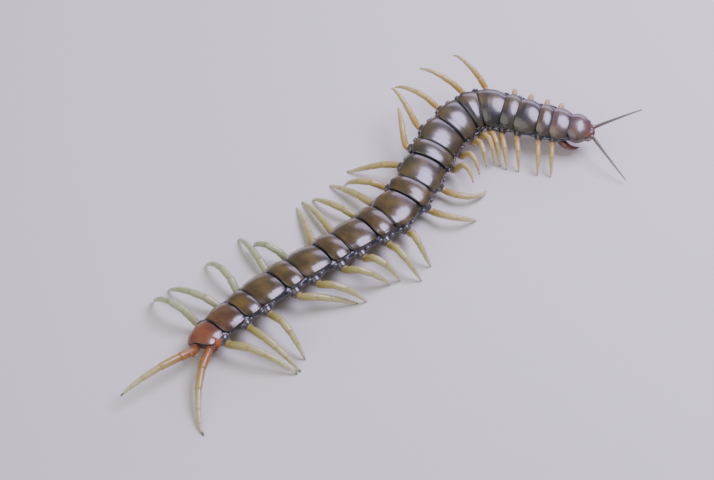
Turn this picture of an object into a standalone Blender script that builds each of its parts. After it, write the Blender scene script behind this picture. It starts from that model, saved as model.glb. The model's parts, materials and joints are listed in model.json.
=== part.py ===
"""Giant centipede, a still life-size model: head with antennae, eye clusters and poison claws, a trunk of
twenty-one overlapping back plates, twenty pairs of walking legs and a pair of long terminal legs.
Metres, +Z up, the floor at z = 0. The trunk follows a bent, slightly twisted midline, and every other part
is placed from the frame of the midline where it grows: x to the animal's right, y forward, z to its back."""

import math

import bmesh
import bpy
from mathutils import Matrix, Vector
from mathutils.geometry import interpolate_bezier

MM = 0.001
SIDES = {"right": 1, "left": -1}
NODE_GAP = 0.3 * MM

# Pose of the trunk: midline stations from tail to neck, as x, y and height in mm and roll in degrees.
# Roll is positive where the animal's right side is the lower one. The origin is the middle of the box.
ORIGIN = (14.3, -6.7)
MIDLINE = (
    (-58.9, -59.2, 7.2, -5),
    (-57.3, -54.0, 7.5, -7),
    (-46.0, -42.4, 8.0, -10),
    (-30.9, -28.2, 8.0, -14),
    (-14.4, -15.4, 8.0, -15),
    (2.0, -2.8, 8.0, -10),
    (17.1, 10.7, 8.2, 3),
    (27.4, 29.0, 9.6, 14),
    (36.4, 47.6, 11.2, 20),
    (51.9, 60.9, 12.9, 20),
    (76.2, 54.6, 12.6, 17),
    (98.4, 49.4, 11.0, 15),
)
STEPS_PER_SPAN = 24

# Trunk: lengths of the long back plates and widths of the trunk in mm over the plate's number. The short
# plates 2, 4, 6, 9, 11, 13, 15, 17 and 19 lie between the long ones.
PLATES = 21
SHORT_PLATES = (2, 4, 6, 9, 11, 13, 15, 17, 19)
SHORT_PLATE_RATIO = 0.64
PLATE_LENGTHS = (
    (1, 7.9), (3, 9.2), (5, 10.2), (7, 10.6), (8, 11.8), (10, 13.2), (16, 14.0), (18, 13.5), (20, 11.0), (21, 10.5),
)
TRUNK_WIDTHS = (
    (0, 12.4), (1, 12.8), (3, 13.8), (5, 15.2), (7, 16.4), (9, 17.0), (16, 17.0), (18, 16.4), (20, 14.0), (22, 11.4),
)
TRUNK_NODES = ((1, 3), (4, 5), (6, 8), (9, 11), (12, 14), (15, 17), (18, 20), (21, 21))
TRUNK_GAP = 0.7 * MM

# Outline across the trunk, in half widths: an arched back plate over soft sides and a flat belly.
BACK_RISE = 0.36
BACK_EDGE_HEIGHT = 0.14
BACK_STEPS = 4
SIDE_OUTLINE = ((0.96, 0.05), (1.0, -0.10), (0.92, -0.26), (0.60, -0.36), (0.0, -0.38))
# Rings along one plate: place from its rear edge, size of the back plate and size of the soft sides.
PLATE_RINGS = ((0.0, 0.95, 0.88), (0.09, 1.01, 0.94), (0.38, 1.04, 1.0), (0.72, 1.01, 0.99), (1.0, 0.90, 0.88))

# Walking legs from pair 1 to 20: length and thickness in mm over the pair number, and the pose of each leg
# as forward swing in degrees, level reach and height of the claw in mm, and how far the leg's arch leans
# from upright to the rear, in degrees. The handles of an arch stand at shares of its reach. The shape is the
# leg's radius over the share of its run, with a waist at each joint.
LEG_LENGTHS = (
    (1, 17.5), (4, 19.5), (5, 22.4), (9, 22.8), (10, 24.0), (16, 25.2), (18, 26.5), (19, 28.0), (20, 31.5),
)
LEG_THICKNESS = ((1, 2.3), (9, 2.8), (12, 3.2), (20, 3.4))
LEG_SHAPE = (
    (0.0, 0.92), (0.05, 1.0), (0.285, 0.98), (0.31, 0.80), (0.345, 0.95), (0.505, 0.90), (0.53, 0.70), (0.565, 0.84),
    (0.72, 0.62), (0.76, 0.66), (0.90, 0.42), (1.0, 0.16),
)
ARCH_HANDLES = (0.25, 0.78)
ARCH_STEPS = 24
RIGHT_LEGS = (
    (12, 10.5, 0, 0), (14, 11.0, 0, 0), (26, 11.5, 0, 0), (30, 12.4, 0, 0), (30, 12.2, 0, 0),
    (-14, 12.4, 3, 0), (-32, 13.3, 5, 0), (-31, 13.5, 7, 0), (-38, 12.8, 9, 0), (39, 17.4, 0, 70),
    (29, 17.9, 0, 50), (-13, 14.7, 0, 15), (5, 17.4, 0, 15), (34, 14.0, 0, 15), (52, 17.3, 0, 20),
    (48, 18.2, 0, 15), (59, 22.4, 0, 15), (-5, 20.0, 0, 0), (8, 24.2, 0, 10), (23, 27.4, 0, 0),
)
LEFT_LEGS = (
    (4, 9.0, 0, 0), (-2, 9.5, 0, 0), (-8, 10.0, 0, 0), (-17, 11.0, 0, 0), (-55, 17.2, 23, 0),
    (-43, 19.0, 20, 0), (-12, 19.3, 15, 0), (25, 18.5, 19, 0), (62, 19.0, 14, 0), (-14, 20.4, 0, 0),
    (-3, 17.0, 0, 30), (-6, 21.8, 0, 0), (-16, 21.1, 0, 20), (4, 22.6, 0, -10), (20, 23.0, 0, -20),
    (-22, 16.2, 0, 15), (8, 22.6, 0, 0), (5, 20.9, 0, -10), (-18, 23.4, 0, 10), (-5, 23.0, 0, 10),
)
FOOT_SINK = 0.3 * MM

# Hips: stubs on the trunk that the legs grow from. Their places ahead of the plate's rear edge, in plate
# lengths over the pair number, then their root and end in half widths. At the inside of the tight bend two
# of them stand apart from the middle of their plates.
HIP_PLACES = {
    "right": (
        (1, 0.22), (4, 0.22), (5, 0.55), (6, 0.05), (7, 0.38), (8, 0.48), (10, 0.45), (11, 0.25), (17, 0.25),
        (18, 0.05), (19, -0.22), (20, -0.20),
    ),
    "left": (
        (1, 0.22), (5, 0.22), (6, 0.50), (7, 0.45), (10, 0.45), (11, 0.25), (17, 0.25), (18, 0.05), (19, -0.22),
        (20, -0.20),
    ),
}
HIP_ROOT = (0.55, -0.12)
HIP_END = (1.19, -0.28)
HIP_MARGIN = 0.35 * MM
TROCHANTER = 1.6 * MM

# Terminal legs: sideways splay in degrees, level reach and height of the claw in mm and lean of the arch
TERMINAL_LENGTH = 35.0 * MM
TERMINAL_POSES = {"right": (12, 33.4, 0.0, 75), "left": (40, 34.0, 6.0, 0)}
TERMINAL_ROOT = (0.47, -0.06)
TERMINAL_STUB = 0.9 * MM
TERMINAL_RADIUS = 1.85 * MM
TERMINAL_SHAPE = (
    (0.0, 0.80), (0.04, 1.0), (0.24, 1.0), (0.27, 0.84), (0.30, 0.93), (0.47, 0.86), (0.50, 0.70), (0.53, 0.79),
    (0.69, 0.68), (0.72, 0.55), (0.75, 0.62), (0.86, 0.50), (0.95, 0.32), (1.0, 0.14),
)
TERMINAL_SPINES = (0.09, 0.15, 0.21)
SPINE_LENGTH = 1.2 * MM
SPINE_RADIUS = 0.45 * MM
COXOPLEURA = ((0.60, 7.0, -0.16, 2.3), (0.66, -0.3, -0.20, 1.5))

# Head: half widths in mm along its length
HEAD_LENGTH = 9.6 * MM
HEAD_WIDTHS = ((0.0, 5.0), (0.12, 5.8), (0.30, 6.3), (0.50, 6.3), (0.68, 5.5), (0.85, 4.1), (1.0, 2.7))
ANTENNA_ROOT = (1.8, 8.2, 0.1)
ANTENNA_SOCKET = (2.7, 10.0, 0.3)
ANTENNA_RADII = (0.85 * MM, 0.30 * MM)
ANTENNA_ARTICLES = 17
ANTENNA_WAIST = 0.84
# Handles and tips of the antennae in head coordinates, in mm
ANTENNA_ROUTES = {
    "right": ((6.5, 13.5, 1.0), (12.0, 19.5, 0.8), (17.0, 27.0, -3.0)),
    "left": ((-5.0, 14.5, 2.5), (-7.5, 21.0, 7.0), (-9.5, 27.0, 11.0)),
}
EYE_PLACE = (4.5, 7.2, 0.9)
EYE_BASE_RADIUS = 1.25 * MM
EYE_BASE_HEIGHT = 0.45 * MM
OCELLUS_RADIUS = 0.42 * MM
OCELLUS_SPREAD = 0.56 * MM

# Poison claws, their base plate and the mouth parts under the head, in head coordinates in mm
CLAW_ROUTE = (
    (4.7, -2.9, -4.4), (5.8, -1.5, -4.5), (6.6, 0.2, -4.6), (6.9, 2.0, -4.7), (6.5, 3.8, -4.9), (5.5, 5.3, -5.2),
)
CLAW_RADII = (1.75, 1.85, 1.7, 1.3, 0.85, 0.25)
CLAW_STEPS = 3
CLAW_GAP = 0.4 * MM
BASE_PLATE = ((-6.6, 3.6), (-5.8, 4.3), (-4.0, 4.3), (-2.4, 3.0), (0.6, 2.6), (2.4, 2.2))
BASE_PLATE_DEPTH = (-2.8, -5.4)
MOUTH_PLATE = ((3.0, 2.2), (3.8, 2.9), (6.0, 2.7), (7.4, 1.8))
MOUTH_PLATE_DEPTH = (-2.75, -4.3)
PALP_ROUTE = ((1.6, 5.6, -3.5), (2.3, 7.6, -3.8), (1.8, 9.0, -4.1), (0.8, 9.6, -4.4))
PALP_RADII = (0.7, 0.65, 0.5, 0.3)

# Finishes: sRGB colour, roughness. Edges sharper than this angle are shaded sharp.
SHARP_ANGLE = math.radians(35)
BACK_SHELL = ("5A4A42", 0.25)
FRONT_SHELL = ("54565A", 0.25)
TAIL_SHELL = ("A8481C", 0.3)
HEAD_SHELL = ("6A4A48", 0.25)
LEG_AMBER = ("D9A24A", 0.35)
LEG_OLIVE = ("B9BE7E", 0.35)
TERMINAL_ORANGE = ("C07A35", 0.35)
ANTENNA_GREY = ("4C5148", 0.4)
POISON_CLAW = ("9C3A20", 0.25)
UNDERSIDE = ("8A5A40", 0.35)
EYE_BLACK = ("0C0B0A", 0.08)


def table(rows, key):
    """Value at key on straight lines between the rows of a table."""
    for (k0, v0), (k1, v1) in zip(rows, rows[1:]):
        if key <= k1:
            return v0 + (v1 - v0) * max(0.0, key - k0) / (k1 - k0)
    return rows[-1][1]


def plate_length(number):
    ratio = SHORT_PLATE_RATIO if number in SHORT_PLATES else 1.0
    return table(PLATE_LENGTHS, number) * ratio * MM


def rear_edge(number):
    """Distance from the tail end to a plate's rear edge."""
    return sum(plate_length(n) for n in range(number + 1, PLATES + 1))


def half_width(number):
    return 0.5 * table(TRUNK_WIDTHS, number) * MM


def frame_from(x_axis, y_axis, z_axis, origin):
    turned = Matrix((x_axis, y_axis, z_axis)).transposed().to_4x4()
    turned.translation = origin
    return turned


class Midline:
    """Smooth curve through the stations, read by the distance from the tail end along the plates."""

    def __init__(self):
        rows = [
            Vector(((x - ORIGIN[0]) * MM, (y - ORIGIN[1]) * MM, z * MM, math.radians(roll)))
            for x, y, z, roll in MIDLINE
        ]
        ends = [2 * rows[0] - rows[1], *rows, 2 * rows[-1] - rows[-2]]
        self.rows = []
        for k in range(len(rows) - 1):
            for step in range(STEPS_PER_SPAN):
                self.rows.append(self.spline(*ends[k : k + 4], step / STEPS_PER_SPAN))
        self.rows.append(rows[-1])
        self.marks = [0.0]
        for a, b in zip(self.rows, self.rows[1:]):
            self.marks.append(self.marks[-1] + (b.xyz - a.xyz).length)
        self.stretch = self.marks[-1] / (rear_edge(0) + HEAD_LENGTH)

    @staticmethod
    def spline(p0, p1, p2, p3, t):
        """Catmull-Rom point between p1 and p2."""
        bend = (2 * p0 - 5 * p1 + 4 * p2 - p3) * t**2 + (3 * p1 - p0 - 3 * p2 + p3) * t**3
        return 0.5 * (2 * p1 + (p2 - p0) * t + bend)

    def row(self, distance):
        """Place and roll at a distance, on a straight line past either end."""
        mark = distance * self.stretch
        k = 0
        while k < len(self.marks) - 2 and self.marks[k + 1] < mark:
            k += 1
        share = (mark - self.marks[k]) / (self.marks[k + 1] - self.marks[k])
        return self.rows[k] + (self.rows[k + 1] - self.rows[k]) * share

    def frame(self, distance):
        row = self.row(distance)
        forward = (self.row(distance + MM).xyz - self.row(distance - MM).xyz).normalized()
        level = forward.cross(Vector((0, 0, 1))).normalized()
        right = Matrix.Rotation(row.w, 3, forward) @ level
        return frame_from(right, forward, right.cross(forward), row.xyz)


def new_object(name, mesh):
    piece = bpy.data.objects.new(name, mesh)
    bpy.context.scene.collection.objects.link(piece)
    return piece


def object_from(name, shape):
    mesh = bpy.data.meshes.new(name)
    bmesh.ops.recalc_face_normals(shape, faces=shape.faces)
    shape.to_mesh(mesh)
    shape.free()
    return new_object(name, mesh)


def evaluated_mesh(piece):
    bpy.context.view_layer.update()
    return bpy.data.meshes.new_from_object(piece.evaluated_get(bpy.context.evaluated_depsgraph_get()))


def loft(name, rings):
    """Closed skin through rings of points of one count, with a flat cap at each end."""
    shape = bmesh.new()
    loops = [[shape.verts.new(point) for point in ring] for ring in rings]
    for a, b in zip(loops, loops[1:]):
        for k in range(len(a)):
            shape.faces.new((a[k - 1], a[k], b[k], b[k - 1]))
    shape.faces.new(loops[0])
    shape.faces.new(loops[-1])
    return object_from(name, shape)


def tube(name, points, radii):
    """Round tube along points with a radius at each, closed by flat caps."""
    curve = bpy.data.curves.new(name, "CURVE")
    curve.dimensions = "3D"
    curve.bevel_depth = 1.0
    curve.bevel_resolution = 2
    curve.use_fill_caps = True
    spline = curve.splines.new("POLY")
    spline.points.add(len(points) - 1)
    for place, point, radius in zip(spline.points, points, radii):
        place.co = (*point, 1.0)
        place.radius = radius
    route = new_object(name, curve)
    mesh = evaluated_mesh(route)
    bpy.data.objects.remove(route)
    shape = bmesh.new()
    shape.from_mesh(mesh)
    bmesh.ops.remove_doubles(shape, verts=shape.verts, dist=0.005 * MM)
    return object_from(name, shape)


def stub(name, start, end, root_radius, end_radius):
    """Short eight-sided cone between two points."""
    axis = end - start
    shape = bmesh.new()
    bmesh.ops.create_cone(
        shape, cap_ends=True, segments=8, radius1=root_radius, radius2=end_radius, depth=axis.length
    )
    turn = axis.to_track_quat("Z", "Y").to_matrix().to_4x4()
    bmesh.ops.transform(shape, matrix=Matrix.Translation((start + end) / 2) @ turn, verts=shape.verts)
    return object_from(name, shape)


def ball(name, centre, radius):
    shape = bmesh.new()
    bmesh.ops.create_uvsphere(shape, u_segments=8, v_segments=6, radius=radius)
    bmesh.ops.translate(shape, verts=shape.verts, vec=centre)
    return object_from(name, shape)


def keep_largest(shape):
    """Removes every closed surface but the one with the most volume."""
    groups = []
    left = set(shape.faces)
    while left:
        group = set()
        front = [left.pop()]
        while front:
            face = front.pop()
            group.add(face)
            near = {other for edge in face.edges for other in edge.link_faces} & left
            left -= near
            front += near
        groups.append(group)
    groups.sort(key=lambda group: sum(face.calc_area() for face in group))
    for group in groups[:-1]:
        bmesh.ops.delete(shape, geom=list(group), context="FACES")


def fuse(body, pieces):
    """Body and the pieces that grow from it, made one closed surface."""
    roots = bpy.data.collections.new(body.name + "_pieces")
    bpy.context.scene.collection.children.link(roots)
    for piece in pieces:
        roots.objects.link(piece)
    union = body.modifiers.new("union", "BOOLEAN")
    union.operation = "UNION"
    union.operand_type = "COLLECTION"
    union.collection = roots
    shape = bmesh.new()
    shape.from_mesh(evaluated_mesh(body))
    body.modifiers.remove(union)
    for piece in pieces:
        bpy.data.objects.remove(piece)
    bpy.data.collections.remove(roots)
    bmesh.ops.remove_doubles(shape, verts=shape.verts, dist=0.005 * MM)
    keep_largest(shape)
    shape.to_mesh(body.data)
    shape.free()
    return body


def finish(piece, look, parts):
    """Gives a node its own material and smooth shading, and files it with the other parts."""
    colour, roughness = look
    channels = [int(colour[k : k + 2], 16) / 255 for k in (0, 2, 4)]
    linear = [c / 12.92 if c <= 0.04045 else ((c + 0.055) / 1.055) ** 2.4 for c in channels]
    material = bpy.data.materials.new(piece.name)
    material.use_nodes = True
    surface = material.node_tree.nodes["Principled BSDF"]
    surface.inputs["Base Color"].default_value = (*linear, 1.0)
    surface.inputs["Roughness"].default_value = roughness
    surface.inputs["Metallic"].default_value = 0.0
    piece.data.materials.clear()
    piece.data.materials.append(material)
    piece.data.shade_smooth()
    piece.data.set_sharp_from_angle(angle=SHARP_ANGLE)
    bpy.context.scene.collection.objects.unlink(piece)
    parts.objects.link(piece)


def ring(frame, width, back, sides):
    """Closed outline across the trunk or head, from the mid-back round the right side."""
    angles = [math.pi / 2 * step / BACK_STEPS for step in range(BACK_STEPS + 1)]
    arch = [(math.sin(a) * back, (BACK_EDGE_HEIGHT + BACK_RISE * math.cos(a)) * back) for a in angles]
    half = arch + [(x * sides, z * sides) for x, z in SIDE_OUTLINE]
    outline = half + [(-x, z) for x, z in reversed(half[1:-1])]
    return [frame @ Vector((x * width, 0, z * width)) for x, z in outline]


def trunk_node(midline, first, last):
    """A length of the trunk with its hips, from the first to the last of its plates."""
    name = f"trunk_{first:02d}_{last:02d}" if first < last else f"trunk_{first:02d}"
    rings = []
    for number in range(last, first - 1, -1):
        rear = rear_edge(number) + TRUNK_GAP / 2
        length = plate_length(number) - TRUNK_GAP
        for place, back, sides in PLATE_RINGS:
            width = half_width(number + 1 - place)
            rings.append(ring(midline.frame(rear + place * length), width, back, sides))
    body = loft(name, rings)
    pieces = tail_stubs(midline) if last == PLATES else []
    for side in SIDES:
        for number in range(1, PLATES):
            if rear_edge(last) <= hip_distance(number, side) < rear_edge(first - 1):
                root, end, _ = hip(midline, number, side)
                pieces.append(stub("hip", root, end, leg_radius(number), leg_radius(number) + HIP_MARGIN))
    return fuse(body, pieces)


def leg_radius(number):
    return 0.5 * table(LEG_THICKNESS, number) * MM


def hip_distance(number, side):
    return rear_edge(number) + table(HIP_PLACES[side], number) * plate_length(number)


def hip(midline, number, side):
    """Root and end of a hip, and the level direction that it points in."""
    frame = midline.frame(hip_distance(number, side))
    width = half_width(number + 1 - table(HIP_PLACES[side], number))
    sign = SIDES[side]
    root = frame @ Vector((sign * HIP_ROOT[0] * width, 0, HIP_ROOT[1] * width))
    end = frame @ Vector((sign * HIP_END[0] * width, 0, HIP_END[1] * width))
    outward = sign * frame.to_3x3().col[0]
    return root, end, Vector((outward.x, outward.y, 0)).normalized()


def run_length(points):
    return sum((b - a).length for a, b in zip(points, points[1:]))


def arch_route(start, heading, reach, end_height, length, lean):
    """Arch from start to a claw at a level reach, bulged until it has its length."""
    up = Matrix.Rotation(lean, 3, heading) @ Vector((0, 0, 1))
    end = start + heading * reach
    end.z = end_height
    low, high = 0.0, length
    points = []
    for _ in range(24):
        bulge = (low + high) / 2
        first = start + heading * ARCH_HANDLES[0] * reach + up * bulge
        second = start.lerp(end, ARCH_HANDLES[1]) + up * bulge
        points = interpolate_bezier(start, first, second, end, ARCH_STEPS)
        if run_length(points) < length:
            low = bulge
        else:
            high = bulge
    return points


def point_at(points, share):
    """Point at a share of a run's length."""
    left = share * run_length(points)
    for a, b in zip(points, points[1:]):
        step = (b - a).length
        if left <= step:
            return a.lerp(b, left / step)
        left -= step
    return points[-1]


def limb(name, points, shape, radius):
    """Tube along a run with the radii that a shape gives over the share of the run."""
    return tube(name, [point_at(points, share) for share, _ in shape], [size * radius for _, size in shape])


def stand_on_floor(leg):
    """Cuts a leg's tip flat at the floor."""
    shape = bmesh.new()
    shape.from_mesh(leg.data)
    everything = [*shape.verts, *shape.edges, *shape.faces]
    cut = bmesh.ops.bisect_plane(
        shape, geom=everything, plane_co=(0, 0, 0), plane_no=(0, 0, -1), clear_outer=True
    )
    edges = [item for item in cut["geom_cut"] if isinstance(item, bmesh.types.BMEdge)]
    bmesh.ops.edgeloop_fill(shape, edges=edges)
    bmesh.ops.recalc_face_normals(shape, faces=shape.faces)
    shape.to_mesh(leg.data)
    shape.free()
    return leg


def walking_leg(midline, number, side):
    swing, reach, claw_height, lean = (RIGHT_LEGS if side == "right" else LEFT_LEGS)[number - 1]
    hip_root, hip_end, outward = hip(midline, number, side)
    axis = (hip_end - hip_root).normalized()
    root = hip_end + axis * NODE_GAP
    start = root + axis * TROCHANTER
    heading = Matrix.Rotation(SIDES[side] * math.radians(swing), 3, "Z") @ outward
    end_height = claw_height * MM if claw_height else -FOOT_SINK
    length = table(LEG_LENGTHS, number) * MM - TROCHANTER
    lean = SIDES[side] * math.radians(lean)
    points = [root, *arch_route(start, heading, reach * MM, end_height, length, lean)]
    leg = limb(f"leg_{side}_{number:02d}", points, LEG_SHAPE, leg_radius(number))
    return leg if claw_height else stand_on_floor(leg)


def terminal_root(midline, side):
    """Frame at the tail end and the place where a terminal leg's stub ends."""
    frame = midline.frame(0.0)
    width = half_width(PLATES + 1)
    return frame, Vector((SIDES[side] * TERMINAL_ROOT[0] * width, -TERMINAL_STUB, TERMINAL_ROOT[1] * width))


def tail_stubs(midline):
    """Stubs for the terminal legs and the swollen side lobes beside them."""
    pieces = []
    for side, sign in SIDES.items():
        frame, end = terminal_root(midline, side)
        start = end + Vector((0, 4 * MM, 0))
        pieces.append(stub("terminal_stub", frame @ start, frame @ end, TERMINAL_RADIUS, TERMINAL_RADIUS * 0.9))
        width = half_width(PLATES + 1)
        ends = [frame @ Vector((sign * x * width, y * MM, z * width)) for x, y, z, _ in COXOPLEURA]
        pieces.append(stub("coxopleura", *ends, COXOPLEURA[0][3] * MM, COXOPLEURA[1][3] * MM))
    return pieces


def terminal_leg(midline, side):
    splay, reach, claw_height, lean = TERMINAL_POSES[side]
    frame, stub_end = terminal_root(midline, side)
    backward = -frame.to_3x3().col[1]
    root = frame @ stub_end + backward * NODE_GAP
    start = root + backward * TROCHANTER
    level = Vector((backward.x, backward.y, 0)).normalized()
    heading = Matrix.Rotation(SIDES[side] * math.radians(splay), 3, "Z") @ level
    end_height = claw_height * MM if claw_height else -FOOT_SINK
    lean = SIDES[side] * math.radians(lean)
    points = [root, *arch_route(start, heading, reach * MM, end_height, TERMINAL_LENGTH, lean)]
    leg = limb(f"terminal_leg_{side}", points, TERMINAL_SHAPE, TERMINAL_RADIUS)
    inward = -SIDES[side] * frame.to_3x3().col[0]
    spines = []
    for share in TERMINAL_SPINES:
        place = points[0].lerp(points[-1], share)
        place.z = points[0].z
        tip = place + (inward + heading * 0.5).normalized() * (TERMINAL_RADIUS + SPINE_LENGTH)
        spines.append(stub("spine", place, tip, 2 * SPINE_RADIUS, 0.1 * MM))
    leg = fuse(leg, spines)
    return leg if claw_height else stand_on_floor(leg)


def local_points(frame, rows, sign=1):
    return [frame @ (Vector((sign * x, y, z)) * MM) for x, y, z in rows]


def head(frame):
    rings = []
    for place, width in HEAD_WIDTHS:
        ahead = frame @ Matrix.Translation((0, NODE_GAP / 2 + place * (HEAD_LENGTH - NODE_GAP / 2), 0))
        rings.append(ring(ahead, width * MM, 1.0, 1.0))
    body = loft("head", rings)
    sockets = []
    for sign in SIDES.values():
        root, end = local_points(frame, (ANTENNA_ROOT, ANTENNA_SOCKET), sign)
        sockets.append(stub("socket", root, end, ANTENNA_RADII[0] * 1.3, ANTENNA_RADII[0] * 1.15))
    return fuse(body, sockets)


def antenna(frame, side):
    """Antenna of many articles, each a little swollen between two waists."""
    root, end = local_points(frame, (ANTENNA_ROOT, ANTENNA_SOCKET), SIDES[side])
    axis = (end - root).normalized()
    start = end + axis * NODE_GAP
    route = local_points(frame, ANTENNA_ROUTES[side])
    points = interpolate_bezier(start + axis * MM, *route, 2 * ANTENNA_ARTICLES)
    radii = []
    for k in range(len(points) + 1):
        share = k / len(points)
        waist = ANTENNA_WAIST if k % 2 else 1.0
        radii.append((ANTENNA_RADII[0] * (1 - share) + ANTENNA_RADII[1] * share) * waist)
    return tube(f"antenna_{side}", [start, *points], radii)


def eyes(frame, side, capsule):
    """Four ocelli on a low round base, which stands just off the side of the head."""
    aim = frame @ (Vector((SIDES[side] * EYE_PLACE[0], EYE_PLACE[1], EYE_PLACE[2])) * MM)
    _, place, normal, _ = capsule.closest_point_on_mesh(aim)
    start = place + normal * NODE_GAP
    top = start + normal * EYE_BASE_HEIGHT
    base = stub(f"eyes_{side}", start, top, EYE_BASE_RADIUS, EYE_BASE_RADIUS * 0.8)
    turn = normal.to_track_quat("Z", "Y").to_matrix()
    ocelli = []
    for quarter in range(4):
        angle = math.pi / 2 * (quarter + 0.5)
        offset = turn @ Vector((math.cos(angle), math.sin(angle), 0)) * OCELLUS_SPREAD
        ocelli.append(ball("ocellus", top + offset, OCELLUS_RADIUS))
    return fuse(base, ocelli)


def flat_plate(name, frame, widths, depth):
    """Low plate under the head, lofted from rounded bars across it."""
    top, bottom = depth
    rings = []
    for forward, width in widths:
        bevel = 0.25 * (top - bottom)
        outline = (
            (width - bevel, top), (width, top - bevel), (width, bottom + bevel), (width - 2 * bevel, bottom),
            (2 * bevel - width, bottom), (-width, bottom + bevel), (-width, top - bevel), (bevel - width, top),
        )
        rings.append(local_points(frame, [(x, forward, z) for x, z in outline]))
    return loft(name, rings)


def claw_axis(points):
    return (points[1] - points[0]).normalized()


def poison_claw_base(frame):
    plate = flat_plate("forcipule_base", frame, BASE_PLATE, BASE_PLATE_DEPTH)
    knobs = []
    for sign in SIDES.values():
        points = local_points(frame, CLAW_ROUTE, sign)
        end = points[0] - claw_axis(points) * CLAW_GAP
        start = points[0] - claw_axis(points) * 3 * MM
        knobs.append(stub("knob", start, end, 1.2 * MM, 1.7 * MM))
    return fuse(plate, knobs)


def poison_claw(frame, side):
    """Poison claw, swollen at the root and curved forward to a sharp tip."""
    places = local_points(frame, CLAW_ROUTE, SIDES[side])
    ends = [2 * places[0] - places[1], *places, 2 * places[-1] - places[-2]]
    points = [places[0]]
    radii = [CLAW_RADII[0]]
    for k in range(len(places) - 1):
        for step in range(1, CLAW_STEPS + 1):
            t = step / CLAW_STEPS
            points.append(Midline.spline(*ends[k : k + 4], t))
            radii.append(CLAW_RADII[k] * (1 - t) + CLAW_RADII[k + 1] * t)
    return tube(f"forcipule_{side}", points, [radius * MM for radius in radii])


def mouth_parts(frame):
    plate = flat_plate("maxillae", frame, MOUTH_PLATE, MOUTH_PLATE_DEPTH)
    palps = []
    for sign in SIDES.values():
        points = local_points(frame, PALP_ROUTE, sign)
        palps.append(tube("palp", points, [radius * MM for radius in PALP_RADII]))
    return fuse(plate, palps)


def main():
    for piece in list(bpy.data.objects):
        bpy.data.objects.remove(piece)
    parts = bpy.data.collections.new("giant_centipede")
    bpy.context.scene.collection.children.link(parts)
    midline = Midline()
    neck = midline.frame(rear_edge(0))

    capsule = head(neck)
    for side in SIDES:
        finish(antenna(neck, side), ANTENNA_GREY, parts)
        finish(eyes(neck, side, capsule), EYE_BLACK, parts)
        finish(poison_claw(neck, side), POISON_CLAW, parts)
    finish(capsule, HEAD_SHELL, parts)
    finish(poison_claw_base(neck), UNDERSIDE, parts)
    finish(mouth_parts(neck), UNDERSIDE, parts)

    for first, last in TRUNK_NODES:
        look = TAIL_SHELL if last == PLATES else BACK_SHELL if first > 9 else FRONT_SHELL
        finish(trunk_node(midline, first, last), look, parts)
    for side in SIDES:
        for number in range(1, PLATES):
            finish(walking_leg(midline, number, side), LEG_OLIVE if number > 9 else LEG_AMBER, parts)
        finish(terminal_leg(midline, side), TERMINAL_ORANGE, parts)


main()
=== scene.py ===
"""Looks of a giant centipede: a still, life-size model that stands on a pale studio floor.

Metres, +Z up, the floor at z = 0. The trunk is modelled straight, x to the animal's right, y forward and z to
its back, and then bent along the midline of the solids. The head, claws and feelers stand in the neck's frame."""

import bisect
import json
import math

import bmesh
import bpy
from bpy.props import FloatProperty, FloatVectorProperty, PointerProperty
from mathutils import Matrix, Vector
from mathutils.geometry import interpolate_bezier

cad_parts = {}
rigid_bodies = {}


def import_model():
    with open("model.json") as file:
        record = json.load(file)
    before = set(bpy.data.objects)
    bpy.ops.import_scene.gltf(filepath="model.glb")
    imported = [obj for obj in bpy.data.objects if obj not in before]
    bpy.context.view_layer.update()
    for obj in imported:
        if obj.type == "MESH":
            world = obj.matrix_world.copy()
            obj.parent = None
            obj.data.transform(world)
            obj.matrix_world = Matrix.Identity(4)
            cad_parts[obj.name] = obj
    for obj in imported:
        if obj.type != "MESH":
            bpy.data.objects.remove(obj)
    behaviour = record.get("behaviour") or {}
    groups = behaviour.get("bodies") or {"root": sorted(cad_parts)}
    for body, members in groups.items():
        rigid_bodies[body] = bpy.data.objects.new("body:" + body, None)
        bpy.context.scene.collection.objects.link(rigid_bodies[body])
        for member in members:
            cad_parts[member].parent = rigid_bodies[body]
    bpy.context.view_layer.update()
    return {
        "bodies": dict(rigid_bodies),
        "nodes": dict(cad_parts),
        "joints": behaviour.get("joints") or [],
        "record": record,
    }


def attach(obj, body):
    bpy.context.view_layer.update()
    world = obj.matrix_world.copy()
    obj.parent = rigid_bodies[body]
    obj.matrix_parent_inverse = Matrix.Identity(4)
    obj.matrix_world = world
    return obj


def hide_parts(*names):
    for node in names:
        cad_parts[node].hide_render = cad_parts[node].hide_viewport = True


bl_info = {
    "name": "Giant centipede",
    "version": (1, 0, 0),
    "blender": (4, 5, 0),
    "location": "3D View > Sidebar > Centipede",
    "description": "Builds the visible pieces and finishes of a giant centipede",
    "category": "Add Mesh",
}

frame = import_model()

MM = 0.001
SIDES = {"right": 1, "left": -1}
PLATES = 21

# Pose of the trunk: stations from tail to neck, as x, y and height in mm and roll in degrees
ORIGIN = (14.3, -6.7)
MIDLINE = (
    (-58.9, -59.2, 7.2, -5),
    (-57.3, -54.0, 7.5, -7),
    (-46.0, -42.4, 8.0, -10),
    (-30.9, -28.2, 8.0, -14),
    (-14.4, -15.4, 8.0, -15),
    (2.0, -2.8, 8.0, -10),
    (17.1, 10.7, 8.2, 3),
    (27.4, 29.0, 9.6, 14),
    (36.4, 47.6, 11.2, 20),
    (51.9, 60.9, 12.9, 20),
    (76.2, 54.6, 12.6, 17),
    (98.4, 49.4, 11.0, 15),
)
STEPS_PER_SPAN = 24

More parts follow.
